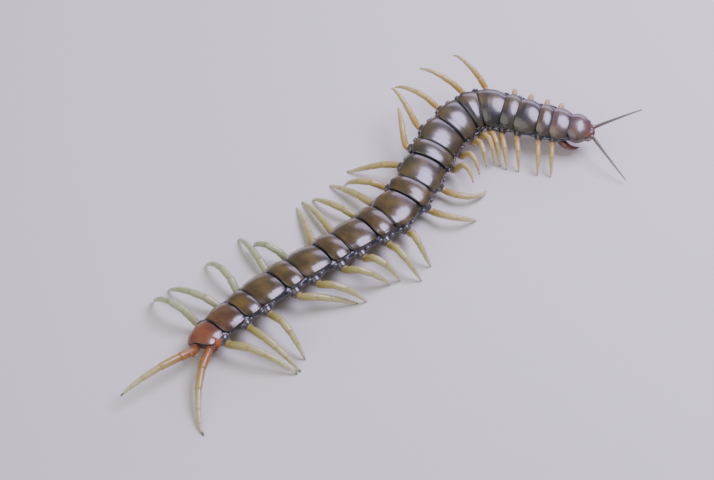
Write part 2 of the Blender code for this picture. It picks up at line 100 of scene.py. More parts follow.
# Lengths of the long back plates and widths of the trunk in mm, over the plate's number from 1 to 21
SHORT_PLATES = (2, 4, 6, 9, 11, 13, 15, 17, 19)
SHORT_PLATE_RATIO = 0.64
PLATE_LENGTHS = (
    (1, 7.9), (3, 9.2), (5, 10.2), (7, 10.6), (8, 11.8), (10, 13.2), (16, 14.0), (18, 13.5), (20, 11.0), (21, 10.5),
)
TRUNK_WIDTHS = (
    (0, 12.4), (1, 12.8), (3, 13.8), (5, 15.2), (7, 16.4), (9, 17.0), (16, 17.0), (18, 16.4), (20, 14.0), (22, 11.4),
)
TRUNK_NODES = ((1, 3), (4, 5), (6, 8), (9, 11), (12, 14), (15, 17), (18, 20), (21, 21))
SPIRACLE_PLATES = (3, 5, 8, 10, 12, 14, 16, 18, 20)

# Back plate across, in half widths, and along it: width, and lift off the trunk in mm, over the share of its
# length from the rear edge, which lies on the next plate, to the front, which is tucked under the last one
BACK_EDGE_HEIGHT = 0.05
BACK_RISE = 0.45
BACK_TURN = math.radians(77)
PLATE_WIDTHS = ((0.0, 0.95), (0.07, 0.99), (0.30, 1.045), (0.60, 1.03), (0.84, 0.96), (1.0, 0.86))
PLATE_LIFTS = (
    (0.0, 0.26), (0.05, 0.40), (0.25, 0.60), (0.48, 0.58), (0.70, 0.34), (0.85, 0.02), (0.93, -0.26), (1.0, -0.62),
)
PLATE_TUCK = 0.9 * MM
PLATE_MARKS = ("plate", "edge", "length", "side")
PLATE_LEAN = 0.55
BELLY_HEIGHT = -0.38

# Outline of the soft skin in half widths, from the mid-back down one side to the mid-belly
SKIN_OUTLINE = (
    (0.00, (0.0, 0.40)), (0.14, (0.34, 0.37)), (0.28, (0.66, 0.29)), (0.37, (0.85, 0.21)), (0.46, (0.97, 0.08)),
    (0.55, (1.02, -0.08)), (0.66, (0.93, -0.25)), (0.78, (0.58, -0.36)), (1.00, (0.0, -0.38)),
)
SKIN_HALF_GIRTH = 23
SKIN_ENDS = (-0.6 * MM, 1.2 * MM)
# Swellings of the skin around each hip: mm ahead of it, place on the outline, height and spread in mm
SWELLINGS = ((0.0, 0.60, 1.1, 2.3), (3.4, 0.50, 0.7, 1.5), (-3.0, 0.52, 0.65, 1.4), (0.8, 0.44, 0.55, 1.5))
# Small hard plates in the flank and the breathing slit: mm ahead of the hip, place on the outline, and half sizes
# in mm, each for the widest part of the trunk. The plates give their length first
FLANK_PLATES = (
    (0.2, 0.44, 1.9, 0.75, 0.6), (2.9, 0.50, 1.4, 0.9, 0.65), (-2.8, 0.51, 1.3, 0.95, 0.6), (3.3, 0.62, 1.1, 0.8, 0.5),
    (-3.9, 0.60, 0.9, 0.7, 0.45),
)
SPIRACLE = (4.3, 0.47, 0.45, 0.8, 0.35)
WIDEST = 8.5 * MM

# Walking legs from pair 1 to 20: length and thickness in mm, and each leg's forward swing in degrees, level
# reach and height of its claw in mm, and lean of its arch to the rear in degrees
LEG_LENGTHS = (
    (1, 17.5), (4, 19.5), (5, 22.4), (9, 22.8), (10, 24.0), (16, 25.2), (18, 26.5), (19, 28.0), (20, 31.5),
)
LEG_THICKNESS = ((1, 2.4), (5, 2.8), (9, 3.0), (12, 3.3), (20, 3.5))
LEG_TAPER = (
    (0.0, 0.92), (0.06, 0.98), (0.285, 0.97), (0.345, 0.93), (0.505, 0.87), (0.565, 0.82), (0.70, 0.70), (0.76, 0.65),
    (0.90, 0.42), (0.955, 0.30), (1.0, 0.16),
)
LEG_JOINTS = (0.0, 0.055, 0.31, 0.53, 0.72, 0.86, 0.955)
ARCH_HANDLES = (0.25, 0.78)
BISECTIONS = 24
LEG_SIDES = 12
LOWEST_CLAW = 0.05 * MM
FLOOR_GAP = 0.02 * MM
RIGHT_LEGS = (
    (12, 10.5, 0, 0), (14, 11.0, 0, 0), (26, 11.5, 0, 0), (30, 12.4, 0, 0), (30, 12.2, 0, 0),
    (-14, 12.4, 3, 0), (-32, 13.3, 5, 0), (-31, 13.5, 7, 0), (-38, 12.8, 9, 0), (39, 17.4, 0, 70),
    (29, 17.9, 0, 50), (-13, 14.7, 0, 15), (5, 17.4, 0, 15), (34, 14.0, 0, 15), (52, 17.3, 0, 20),
    (48, 18.2, 0, 15), (59, 22.4, 0, 15), (-5, 20.0, 0, 0), (8, 24.2, 0, 10), (23, 27.4, 0, 0),
)
LEFT_LEGS = (
    (4, 9.0, 0, 0), (-2, 9.5, 0, 0), (-8, 10.0, 0, 0), (-17, 11.0, 0, 0), (-55, 17.2, 23, 0),
    (-43, 19.0, 20, 0), (-12, 19.3, 15, 0), (25, 18.5, 19, 0), (62, 19.0, 14, 0), (-14, 20.4, 0, 0),
    (-3, 17.0, 0, 30), (-6, 21.8, 0, 0), (-16, 21.1, 0, 20), (4, 22.6, 0, -10), (20, 23.0, 0, -20),
    (-22, 16.2, 0, 15), (8, 22.6, 0, 0), (5, 20.9, 0, -10), (-18, 23.4, 0, 10), (-5, 23.0, 0, 10),
)
HIP_PLACES = {
    "right": (
        (1, 0.22), (4, 0.22), (5, 0.55), (6, 0.05), (7, 0.38), (8, 0.48), (10, 0.45), (11, 0.25), (17, 0.25),
        (18, 0.05), (19, -0.22), (20, -0.20),
    ),
    "left": (
        (1, 0.22), (5, 0.22), (6, 0.50), (7, 0.45), (10, 0.45), (11, 0.25), (17, 0.25), (18, 0.05), (19, -0.22),
        (20, -0.20),
    ),
}
# The amber of the front legs fades between two pairs. On the left, painted light makes the legs behind one pair paler
# by a share
LAST_LEG_BEFORE_PAINTED_LIGHT = 15
AMBER_LEGS = (8.0, 13.0)
FAR_HIND_LEG_PAINTED_LIGHT = 0.6
HIP_ROOT = (0.55, -0.12)
HIP_END = (1.19, -0.28)
NODE_GAP = 0.3 * MM
TROCHANTER = 1.6 * MM

# Radius of a hip, in radii of its leg, over the share of the way from its root to its end
HIP_SWELLS = ((0.30, 1.2), (0.50, 1.62), (0.70, 1.60), (0.87, 1.34), (0.97, 1.22), (1.03, 1.12))

# One article of a leg: radius over the share of its length, from its neck to the collar of the next joint, and the
# claw's over the share of the whole leg
ARTICLE = ((0.0, 0.80), (0.05, 0.89), (0.16, 0.97), (0.42, 1.0), (0.72, 1.02), (0.90, 1.03), (0.97, 0.98), (1.0, 0.86))
CLAW_SWELLS = ((0.975, 0.85), (0.99, 0.55), (1.0, 0.12))

# Terminal legs: sideways splay in degrees, level reach and height of the claw in mm and lean of the arch
TERMINAL_LENGTH = 35.0 * MM
TERMINAL_POSES = {"right": (12, 33.4, 0.0, 75), "left": (40, 34.0, 6.0, 0)}
TERMINAL_ROOT = (0.47, -0.06)
TERMINAL_STUB = 0.9 * MM
TERMINAL_RADIUS = 1.85 * MM
TERMINAL_TAPER = (
    (0.0, 0.80), (0.05, 0.98), (0.24, 0.98), (0.30, 0.93), (0.47, 0.85), (0.53, 0.79), (0.69, 0.67), (0.75, 0.62),
    (0.86, 0.48), (0.95, 0.31), (1.0, 0.14),
)
TERMINAL_JOINTS = (0.0, 0.045, 0.27, 0.50, 0.72, 0.86, 0.955)
SPINE_ROWS = ((0.09, 0.0), (0.15, 0.5), (0.21, -0.2), (0.12, -1.0), (0.19, -1.1))
# Side lobes of the tail: their two ends, as places in half widths and mm and a radius in mm, the swelling over the
# share between them, and the socket of a terminal leg, as mm ahead of its root and radii of the leg
LOBE_ENDS = ((0.81, 7.0, -0.07, 2.8), (0.80, -0.4, -0.11, 2.1))
LOBE_SWELLS = (
    (-0.1, 0.5), (0.05, 0.85), (0.3, 1.0), (0.6, 1.0), (0.82, 0.92), (0.95, 0.72), (1.02, 0.45), (1.08, 0.2),
    (1.2, 0.05),
)
TERMINAL_SOCKET = ((4.0, 0.8), (1.2, 1.08), (0.4, 1.12), (0.0, 1.0), (-0.25, 0.8))

# Head: half widths in mm over the share of its length, and the parts around it in mm in the neck's frame
HEAD_LENGTH = 9.6 * MM
HEAD_TUCK = 0.8 * MM
HEAD_WIDTHS = ((0.0, 5.0), (0.12, 5.8), (0.30, 6.2), (0.46, 5.9), (0.64, 4.9), (0.82, 3.6), (1.0, 2.6))
SHIELD_WIDTHS = (
    (-0.18, 5.8), (0.0, 6.0), (0.14, 6.15), (0.30, 6.2), (0.46, 5.9), (0.64, 4.9), (0.82, 3.6), (1.0, 2.5),
)
SHIELD_ENDS = (-1.7 * MM, 0.985 * HEAD_LENGTH)
SHIELD_LEAN = 0.5
ANTENNA_ROOT = (1.8, 8.2, 0.1)
ANTENNA_SOCKET = (2.7, 10.0, 0.3)
ANTENNA_RADII = (0.85, 0.30)
SOCKET_SWELLS = ((0.0, 1.35), (0.45, 1.4), (0.7, 1.25), (0.9, 1.2), (1.0, 1.05))
ANTENNA_ARTICLES = 17
ANTENNA_ARTICLE = ((0.0, 0.72), (0.18, 0.95), (0.55, 1.0), (0.88, 1.02))
ANTENNA_ROUTES = {
    "right": ((6.5, 13.5, 1.0), (12.0, 19.5, 0.8), (17.0, 27.0, -3.0)),
    "left": ((-5.0, 14.5, 2.5), (-7.5, 21.0, 7.0), (-9.5, 27.0, 11.0)),
}
EYE_PLACE = (3.85, 6.8, 1.05)
EYE_AIM = (0.72, 0.42, 0.55)
CLAW_ROUTE = (
    (4.7, -2.9, -4.4), (5.8, -1.5, -4.5), (6.6, 0.2, -4.6), (6.9, 2.0, -4.7), (6.5, 3.8, -4.9), (5.5, 5.3, -5.2),
)
CLAW_RADII = (1.75, 1.7, 1.5, 1.15, 0.75, 0.12)
CLAW_CREASES = ((0.50, 0.08), (0.56, 0.06), (0.62, 0.05))
BASE_PLATE = ((-6.6, 3.2), (-5.8, 4.2), (-4.0, 4.4), (-2.4, 3.2), (0.6, 2.7), (2.4, 2.1))
BASE_PLATE_DEPTH = (-2.8, -5.4)
MOUTH_PLATE = ((3.0, 2.0), (3.8, 2.9), (6.0, 2.7), (7.4, 1.6))
MOUTH_PLATE_DEPTH = (-2.75, -4.3)
PALP_ROUTE = ((1.6, 5.6, -3.5), (2.3, 7.6, -3.8), (1.8, 9.0, -4.1), (0.8, 9.6, -4.4))
PALP_RADII = (0.7, 0.65, 0.5, 0.2)
PALP_CREASES = ((0.4, 0.12), (0.72, 0.12))

# Camera of the picture: it looks along +Y and down, at the point that the trunk was laid out from
CAMERA_TARGET = Vector((-ORIGIN[0], -ORIGIN[1], 0)) * MM
CAMERA_ELEVATION = math.radians(50)
CAMERA_DISTANCE = 800 * MM
CAMERA_LENS = 99.6

# Soft boxes: place and aim in metres, size in metres and colour. The key and the back light stand behind the
# animal, where the plates mirror them towards the camera; the front light is wide and lights the near flank
LIGHTS = {
    "key": ((0.36, 0.14, 0.70), (0, 0, 0), (0.60, 0.50), "DED2FF"),
    "front": ((-0.9, -0.9, 1.2), (0, 0, 0), (2.4, 2.0), "FFFAF2"),
    "back": ((0.26, 0.62, 0.30), (0.08, 0.05, 0), (0.7, 0.3), "E0D0FF"),
}


def linear(code):
    """Linear colour of an sRGB hex value."""
    channels = [int(code[k : k + 2], 16) / 255 for k in (0, 2, 4)]
    return (*[c / 12.92 if c <= 0.04045 else ((c + 0.055) / 1.055) ** 2.4 for c in channels], 1.0)


def colour(name, description, code):
    return FloatVectorProperty(
        name=name, description=description, default=linear(code), size=4, min=0, max=1, subtype="COLOR"
    )


def distance(name, description, millimetres):
    return FloatProperty(
        name=name, description=description, default=millimetres * MM, min=0, precision=5, subtype="DISTANCE",
        unit="LENGTH",
    )


def power(name, description, watts):
    return FloatProperty(name=name, description=description, default=watts, min=0, unit="POWER")


class ShellSettings(bpy.types.PropertyGroup):
    thickness: distance("Shell thickness", "Thickness of the back and belly plates", 0.35)
    overlap: distance("Overlap", "How far each back plate lies over the next one", 0.8)
    rim: distance("Rim height", "Height of the raised margin along the sides of a back plate", 0.16)
    front: colour("Front plates", "Slate grey shell of the front third", "353330")
    middle: colour("Middle plates", "Olive grey shell around the tight bend", "403C28")
    hind: colour("Hind plates", "Olive brown shell of the rear half", "483A18")
    last: colour("Last plate", "Rust brown shell of the last back plate", "7C4028")
    head: colour("Head plate", "Mauve brown shell of the head", "584440")
    gold: colour("Gold", "Golden olive clouds in the middle of the back plates", "7E6826")
    # Painted shade: this brown darkens the front of each back plate, where it lies under the last one, and its sides;
    # the clouds also darken it in patches at random
    shade: colour("Shade", "Dark brown at the front and the sides of the back plates", "1E1612")
    belly: colour("Belly plates", "Amber brown shell of the underside", "7A5432")
    # Black of the line along the rear edge and sides of each plate, partly the plate's own dark band, and of the
    # painted shade where the front of a plate is tucked under the last one
    seam: colour("Edges", "Black line along the rear edge of each plate", "0E0D10")


class SkinSettings(bpy.types.PropertyGroup):
    wrinkle: distance("Wrinkle depth", "Depth of the folds in the soft skin", 0.25)
    flank: colour("Flank", "Blue black soft skin along the flanks", "2A303A")
    belly: colour("Belly", "Grey brown soft skin under the belly", "4A3A30")
    hip: colour("Hips", "Slate shell of the hips and of the small plates in the flank", "343E4A")


class LegSettings(bpy.types.PropertyGroup):
    root: colour("Root", "Ochre of the first article", "8A7640")
    front: colour("Front legs", "Amber of the front legs", "C69A4E")
    hind: colour("Hind legs", "Pale olive yellow of the hind legs", "AAA664")
    # Painted light: the far hind legs on the left are mixed towards this colour so that they look more brightly lit
    pale: colour("Pale legs", "Mint cream of the palest hind legs", "A9B490")
    tip: colour("Tips", "Cream of the slender last articles", "C6C494")
    claw: colour("Claws", "Dark horn of the claws", "1C120A")
    terminal: colour("Terminal legs", "Orange brown root of the terminal legs", "8A4620")


class StageSettings(bpy.types.PropertyGroup):
    floor: colour("Floor", "Plain pale floor", "D9D6D1")
    key: power("Key light", "Power of the soft box above the back", 10.5)
    front: power("Front light", "Power of the wide front light", 15.0)
    back: power("Back light", "Power of the low box behind the head", 2.0)


def mm(*values):
    """Metres of so many millimetres."""
    return [value * MM for value in values]


def table(rows, key):
    """Value at key on straight lines between the rows of a table. Values may be numbers or pairs."""
    for (k0, v0), (k1, v1) in zip(rows, rows[1:]):
        if key <= k1:
            share = max(0.0, key - k0) / (k1 - k0)
            if isinstance(v0, tuple):
                return tuple(a + (b - a) * share for a, b in zip(v0, v1))
            return v0 + (v1 - v0) * share
    return rows[-1][1]


def hump(x, spread):
    return math.exp(-((x / spread) ** 2))


# The trunk's measure: distances run from the tail end along the plates

def plate_length(number):
    ratio = SHORT_PLATE_RATIO if number in SHORT_PLATES else 1.0
    return table(PLATE_LENGTHS, number) * ratio * MM


REAR_EDGES = [sum(plate_length(n) for n in range(number + 1, PLATES + 1)) for number in range(PLATES + 1)]


def plate_at(distance):
    """Number of the plate at a distance from the tail, as a number that falls smoothly towards the head."""
    if distance <= 0:
        return PLATES + 1.0
    for number in range(PLATES, 0, -1):
        if distance < REAR_EDGES[number - 1]:
            return number + 1 - (distance - REAR_EDGES[number]) / plate_length(number)
    return 1.0


def half_width(distance):
    return 0.5 * table(TRUNK_WIDTHS, plate_at(distance)) * MM


def frame_from(x_axis, y_axis, z_axis, origin):
    turned = Matrix((x_axis, y_axis, z_axis)).transposed().to_4x4()
    turned.translation = origin
    return turned


def spline(p0, p1, p2, p3, t):
    """Catmull-Rom point between p1 and p2."""
    bend = (2 * p0 - 5 * p1 + 4 * p2 - p3) * t**2 + (3 * p1 - p0 - 3 * p2 + p3) * t**3
    return 0.5 * (2 * p1 + (p2 - p0) * t + bend)


def smooth_route(points, steps):
    """Smooth curve through the points, with so many steps in each span."""
    ends = [2 * points[0] - points[1], *points, 2 * points[-1] - points[-2]]
    route = [spline(*ends[k : k + 4], step / steps) for k in range(len(points) - 1) for step in range(steps)]
    return [*route, points[-1]]


class Midline:
    """Smooth curve through the stations, read by the distance from the tail end."""

    def __init__(self):
        stations = [
            Vector(((x - ORIGIN[0]) * MM, (y - ORIGIN[1]) * MM, z * MM, math.radians(roll)))
            for x, y, z, roll in MIDLINE
        ]
        self.rows = smooth_route(stations, STEPS_PER_SPAN)
        self.marks = [0.0]
        for a, b in zip(self.rows, self.rows[1:]):
            self.marks.append(self.marks[-1] + (b.xyz - a.xyz).length)
        self.stretch = self.marks[-1] / (REAR_EDGES[0] + HEAD_LENGTH)

    def row(self, distance):
        mark = distance * self.stretch
        k = min(max(bisect.bisect_left(self.marks, mark) - 1, 0), len(self.marks) - 2)
        share = (mark - self.marks[k]) / (self.marks[k + 1] - self.marks[k])
        return self.rows[k] + (self.rows[k + 1] - self.rows[k]) * share

    def frame(self, distance):
        row = self.row(distance)
        forward = (self.row(distance + MM).xyz - self.row(distance - MM).xyz).normalized()
        level = forward.cross(Vector((0, 0, 1))).normalized()
        right = Matrix.Rotation(row.w, 3, forward) @ level
        return frame_from(right, forward, right.cross(forward), row.xyz)


LINE = Midline()
NECK = LINE.frame(REAR_EDGES[0])


def bend(shape):
    """Bends a straight shape along the midline: its y is the distance from the tail end."""
    for vert in shape.verts:
        x, y, z = vert.co
        vert.co = LINE.frame(y) @ Vector((x, 0, z))


def in_neck(rows, sign=1):
    return [NECK @ (Vector((sign * x, y, z)) * MM) for x, y, z in rows]


# Shapes

def sheet(across, along, place, marks):
    """Grid of so many steps whose points go where place puts them, from -1 to 1 across and 0 to 1 along."""
    shape = bmesh.new()
    layers = [shape.verts.layers.float.new(name) for name in marks]
    bmesh.ops.create_grid(shape, x_segments=across, y_segments=along, size=0.5)
    for vert in shape.verts:
        point, *values = place(2 * vert.co.x, vert.co.y + 0.5)
        vert.co = point
        for layer, value in zip(layers, values):
            vert[layer] = value
    return shape


def shell(across, along, place, marks, thickness):
    """Sheet with the thickness of a plate."""
    shape = sheet(across, along, place, marks)
    bmesh.ops.solidify(shape, geom=shape.faces[:], thickness=thickness)
    return shape


def rolled(around, along, place, marks):
    """Closed body rolled from a sheet: place gets the share of the way round and the share along."""
    shape = sheet(around, along, lambda u, t: place((u + 1) / 2, t), marks)
    bmesh.ops.remove_doubles(shape, verts=shape.verts, dist=0.001 * MM)
    bmesh.ops.holes_fill(shape, edges=[edge for edge in shape.edges if edge.is_boundary])
    bmesh.ops.recalc_face_normals(shape, faces=shape.faces)
    return shape


def stations_along(points):
    """Frame at each point of a route, z along it and with no twist."""
    turn = (points[1] - points[0]).to_track_quat("Z", "Y")
    frames = []
    for k, point in enumerate(points):
        ahead = points[min(k + 1, len(points) - 1)] - points[max(k - 1, 0)]
        turn = (turn @ Vector((0, 0, 1))).rotation_difference(ahead) @ turn
        frames.append(Matrix.Translation(point) @ turn.to_matrix().to_4x4())
    return frames


def sweep(shape, points, radii, segments=12, mark=None, values=()):
    """Round closed body: a circle is extruded from point to point and scaled to each radius."""
    layer = shape.verts.layers.float.get(mark) if mark else None
    if mark and layer is None:
        layer = shape.verts.layers.float.new(mark)
    places = [
        frame @ Matrix.Diagonal((radius, radius, radius, 1.0)) for frame, radius in zip(stations_along(points), radii)
    ]
    verts = bmesh.ops.create_circle(shape, cap_ends=True, segments=segments, radius=1.0)["verts"]
    made = list(verts)
    edges = list(dict.fromkeys(edge for vert in verts for edge in vert.link_edges))
    here = Matrix.Identity(4)
    for k, place in enumerate(places):
        if k:
            grown = bmesh.ops.extrude_edge_only(shape, edges=edges)["geom"]
            verts = [item for item in grown if isinstance(item, bmesh.types.BMVert)]
            ring = set(verts)
            edges = [
                item for item in grown if isinstance(item, bmesh.types.BMEdge) and ring.issuperset(item.verts)
            ]
            made += verts
        bmesh.ops.transform(shape, matrix=place @ here.inverted(), verts=verts)
        here = place
        if mark:
            for vert in verts:
                vert[layer] = values[k]
    bmesh.ops.edgeloop_fill(shape, edges=edges)
    return made


def spindle(shape, root, end, rows, segments=12, mark=None, value=0.0):
    """Straight round body whose rows hold the share of the way from root to end and the radius."""
    points, radii = [root.lerp(end, share) for share, _ in rows], [radius for _, radius in rows]
    sweep(shape, points, radii, segments, mark, [value] * len(rows))


def dome(shape, place, size, segments=10):
    """Low oval dome: a ball scaled to its half sizes in mm and set at a frame."""
    scaled = place @ Matrix.Diagonal((*mm(*size), 1.0))
    bmesh.ops.create_uvsphere(shape, u_segments=segments, v_segments=segments // 2 + 1, radius=1.0, matrix=scaled)


def mark_all(shape, name, value):
    layer = shape.verts.layers.float.new(name)
    for vert in shape.verts:
        vert[layer] = value


def join(whole, shape):
    """Moves a shape into another one."""
    mesh = bpy.data.meshes.new("part")
    shape.to_mesh(mesh)
    shape.free()
    whole.from_mesh(mesh)
    bpy.data.meshes.remove(mesh)


def new_object(name, data):
    made = bpy.data.objects.new(name, data)
    bpy.context.scene.collection.objects.link(made)
    return made


def piece(name, shape, finish, nodes=()):
    """Turns a shape into a visible, rounded piece of the model with its finish."""
    bmesh.ops.recalc_face_normals(shape, faces=shape.faces)
    mesh = bpy.data.meshes.new(name)
    shape.to_mesh(mesh)
    shape.free()
    mesh.materials.append(finish)
    mesh.shade_smooth()
    made = new_object(name, mesh)
    rounding = made.modifiers.new("rounding", "SUBSURF")
    rounding.levels = rounding.render_levels = 1
    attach(made, "root")
    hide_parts(*nodes)
    return made


# Finishes

def per(millimetres):
    """Texture scale of a pattern with details of so many millimetres."""
    return 1000 / millimetres


def add(tree, kind, inputs=None, **settings):
    """Adds a node with its settings, and sets or links its inputs."""
    made = tree.nodes.new("ShaderNode" + kind)
    for name, value in settings.items():
        if name == "stops":
            elements = made.color_ramp.elements
            while len(elements) < len(value):
                elements.new(0.5)
            for element, (position, stop) in zip(elements, value):
                element.position = position
                element.color = linear(stop) if isinstance(stop, str) else stop
        else:
            setattr(made, name, value)
    for key, value in (inputs or {}).items():
        if isinstance(value, bpy.types.NodeSocket):
            tree.links.new(value, made.inputs[key])
        else:
            made.inputs[key].default_value = value
    return made


def new_finish(name):
    material = bpy.data.materials.new(name)
    material.use_nodes = True
    tree = material.node_tree
    place = add(tree, "TexCoord").outputs["Object"]
    return material, tree, tree.nodes["Principled BSDF"], place


def mark_value(tree, name):
    return add(tree, "Attribute", attribute_name=name).outputs["Fac"]


def mixed(tree, share, a, b):
    """Colour between a and b by a share."""
    made = add(tree, "Mix", {0: share, 6: a, 7: b}, data_type="RGBA")
    return made.outputs[2]


def noise(tree, place, millimetres, detail=3.0):
    return add(tree, "TexNoise", {"Vector": place, "Scale": per(millimetres), "Detail": detail}).outputs["Fac"]


def surface(tree, shader, constants, links):
    for name, value in constants.items():
        shader.inputs[name].default_value = value
    for name, socket in links.items():
        tree.links.new(socket, shader.inputs[name])


def ramp(tree, mark, stops):
    """Colour along a mark of the piece. Stops hold its place and its colour, linear or as a hex value."""
    return add(tree, "ValToRGB", {"Fac": mark_value(tree, mark)}, stops=stops).outputs["Color"]


def bumped(tree, height, strength, depth):
    """Normal of a relief of so many metres."""
    return add(tree, "Bump", {"Strength": strength, "Distance": depth, "Height": height}).outputs["Normal"]


def ranged(tree, value, low, high, start, end):
    """Value spread from low..high to start..end."""
    return add(tree, "MapRange", {"Value": value, 1: low, 2: high, 3: start, 4: end}).outputs[0]


def back_finish(name, settings, stops):
    """Wet hard chitin, moulted and tanned in place: a glossy shell whose colour runs along the body, clouded with
    dark at random, with painted shade towards the front of each plate, where it lies under the last one, and towards
    its sides, a black line along its rear edge, partly its own dark band and partly painted shade of the groove
    between plates, a black line along its sides, and black painted shade where its front is tucked under the last
    plate."""
    material, tree, shader, place = new_finish(name)
    body = ramp(tree, "plate", stops)
    clouds = noise(tree, place, 7.0, 2.0)
    golden = mixed(tree, ranged(tree, clouds, 0.45, 0.7, 0.0, 0.4), body, settings.gold)
    # Painted shade: the front of each plate, where it lies under the last one, and its sides are darkened towards the
    # shade colour; the clouds add darker patches at random
    front = ranged(tree, mark_value(tree, "length"), 0.45, 0.9, 0.0, 0.7)
    flank = ranged(tree, mark_value(tree, "side"), 0.55, 1.0, 0.0, 0.6)
    shade = add(tree, "Math", {0: front, 1: flank}, operation="MAXIMUM").outputs[0]
    shade = add(tree, "Math", {0: shade, 1: ranged(tree, clouds, 0.35, 0.6, 0.25, -0.1)}, operation="ADD").outputs[0]
    dark = mixed(tree, ranged(tree, shade, 0.0, 1.0, 0.0, 0.8), golden, settings.shade)
    # The edge mark paints a black line along the rear edge, partly the plate's own dark band and partly painted shade
    # of the groove between plates, a black line along the sides, and black painted shade where the front is tucked
    # under the last plate
    lined = mixed(tree, mark_value(tree, "edge"), dark, settings.seam)
    rough = ranged(tree, clouds, 0.3, 0.7, 0.24, 0.34)
    normal = bumped(tree, noise(tree, place, 2.6, 2.0), 0.4, 0.15 * MM)
    surface(tree, shader, {"IOR": 1.56, "Coat Weight": 1.0, "Coat Roughness": 0.16, "Coat IOR": 1.5},
            {"Base Color": lined, "Roughness": rough, "Normal": normal})
    return material


def skin_finish(settings):
    """Wet soft membrane between the hard plates: dull blue black, finely wrinkled, with a wet film on top."""
    material, tree, shader, place = new_finish("wet_flank_membrane")
    tone = mixed(tree, mark_value(tree, "under"), settings.flank, settings.belly)
    tone = mixed(tree, noise(tree, place, 2.0), tone, linear("14161A"))
    folds = add(tree, "TexWave", {"Vector": place, "Scale": per(6.0), "Distortion": 9.0, "Detail": 3.0})
    lumps = noise(tree, place, 1.3, 1.0)
    relief = add(tree, "Math", {0: folds.outputs["Fac"], 1: 0.3, 2: lumps}, operation="MULTIPLY_ADD")
    surface(tree, shader, {"IOR": 1.45, "Roughness": 0.42, "Coat Weight": 0.7, "Coat Roughness": 0.12},
            {"Base Color": tone, "Normal": bumped(tree, relief.outputs[0], 0.7, settings.wrinkle)})
    return material


def hip_finish(settings):
    """Wet hard chitin of the hips and flank plates: smooth slate with sharp highlights."""
    material, tree, shader, place = new_finish("wet_slate_chitin")
    tone = mixed(tree, noise(tree, place, 1.6), settings.hip, linear("4A4038"))
    surface(tree, shader, {"IOR": 1.56, "Roughness": 0.26, "Coat Weight": 0.9, "Coat Roughness": 0.06},
            {"Base Color": tone, "Normal": bumped(tree, noise(tree, place, 0.7), 0.4, 0.08 * MM)})
    return material


def leg_finish(name, settings, stops):
    """Waxy, half translucent leg chitin: pale and satin, orange at the root and the joints, dark at the claw,
    with painted light that makes the far hind legs on the left paler.
    """
    material, tree, shader, place = new_finish(name)
    along = mark_value(tree, "along")
    body = ramp(tree, "along", stops)
    front = ranged(tree, mark_value(tree, "pair"), *AMBER_LEGS, 1.0, 0.0)
    ripe = mixed(tree, ranged(tree, along, 0.25, 0.9, 0.0, 0.7), settings.front, settings.tip)
    tone = mixed(tree, front, body, mixed(tree, 0.65, body, ripe))
    tone = mixed(tree, ranged(tree, noise(tree, place, 3.0), 0.4, 0.75, 0.0, 0.35), tone, linear("A08C4C"))
    # Painted light: the far hind legs on the left are mixed towards the pale colour
    tone = mixed(tree, mark_value(tree, "pale"), tone, settings.pale)
    tone = mixed(tree, mark_value(tree, "joint"), tone, linear("86652C"))
    tone = mixed(tree, ranged(tree, along, 0.945, 0.975, 0.0, 1.0), tone, settings.claw)
    surface(tree, shader, {"IOR": 1.5, "Roughness": 0.34, "Coat Weight": 0.45, "Coat Roughness": 0.15,
                           "Subsurface Weight": 0.2, "Subsurface Radius": (0.6, 0.55, 0.4),
                           "Subsurface Scale": 0.5 * MM},
            {"Base Color": tone, "Normal": bumped(tree, noise(tree, place, 0.35), 0.35, 0.05 * MM)})
    return material


def plain_chitin(name, stops, roughness=0.28, coat=0.8, grain=0.6):
    """Hard chitin whose colour runs along a piece, such as a poison claw, a feeler or a lip."""
    material, tree, shader, place = new_finish(name)
    clouds = ranged(tree, noise(tree, place, 1.8), 0.4, 0.8, 0.0, 0.4)
    tone = mixed(tree, clouds, ramp(tree, "along", stops), linear("3A1C10"))
    surface(tree, shader, {"IOR": 1.56, "Roughness": roughness, "Coat Weight": coat, "Coat Roughness": 0.08},
            {"Base Color": tone, "Normal": bumped(tree, noise(tree, place, grain), 0.4, 0.06 * MM)})
    return material


# Trunk

def hip_distance(number, side):
    return REAR_EDGES[number] + table(HIP_PLACES[side], number) * plate_length(number)


HIPS = [(side, number, hip_distance(number, side)) for side in SIDES for number in range(1, PLATES)]


def trunk_nodes():
    return [f"trunk_{a:02d}_{b:02d}" if a < b else f"trunk_{a:02d}" for a, b in TRUNK_NODES]


def skin_swell(side, distance, share):
    """Outward swelling of the soft skin at a place, in mm."""
    swell = 0.0
    for other, _, hip in HIPS:
        ahead = (distance - hip) / MM
        if other == side and abs(ahead) < 8:
            for shift, height, amount, spread in SWELLINGS:
                swell += amount * hump(ahead - shift, spread) * hump((share - height) * SKIN_HALF_GIRTH, spread)
    return swell


def skin_point(side, distance, share):
    """Point of the soft skin on one side at a share of its outline, on the straight trunk."""
    width = half_width(distance)
    x, z = table(SKIN_OUTLINE, share)
    out = Vector((x, 0, z * 1.4 + 0.02)).normalized()
    nearest = min(abs(distance - edge) for edge in REAR_EDGES) / MM
    fold = -0.45 * hump(nearest, 0.7) * hump((share - 0.55) * SKIN_HALF_GIRTH, 5.0)
    point = Vector((x * width, distance, z * width)) + out * (skin_swell(side, distance, share) + fold) * MM
    point.x *= SIDES[side]
    return point


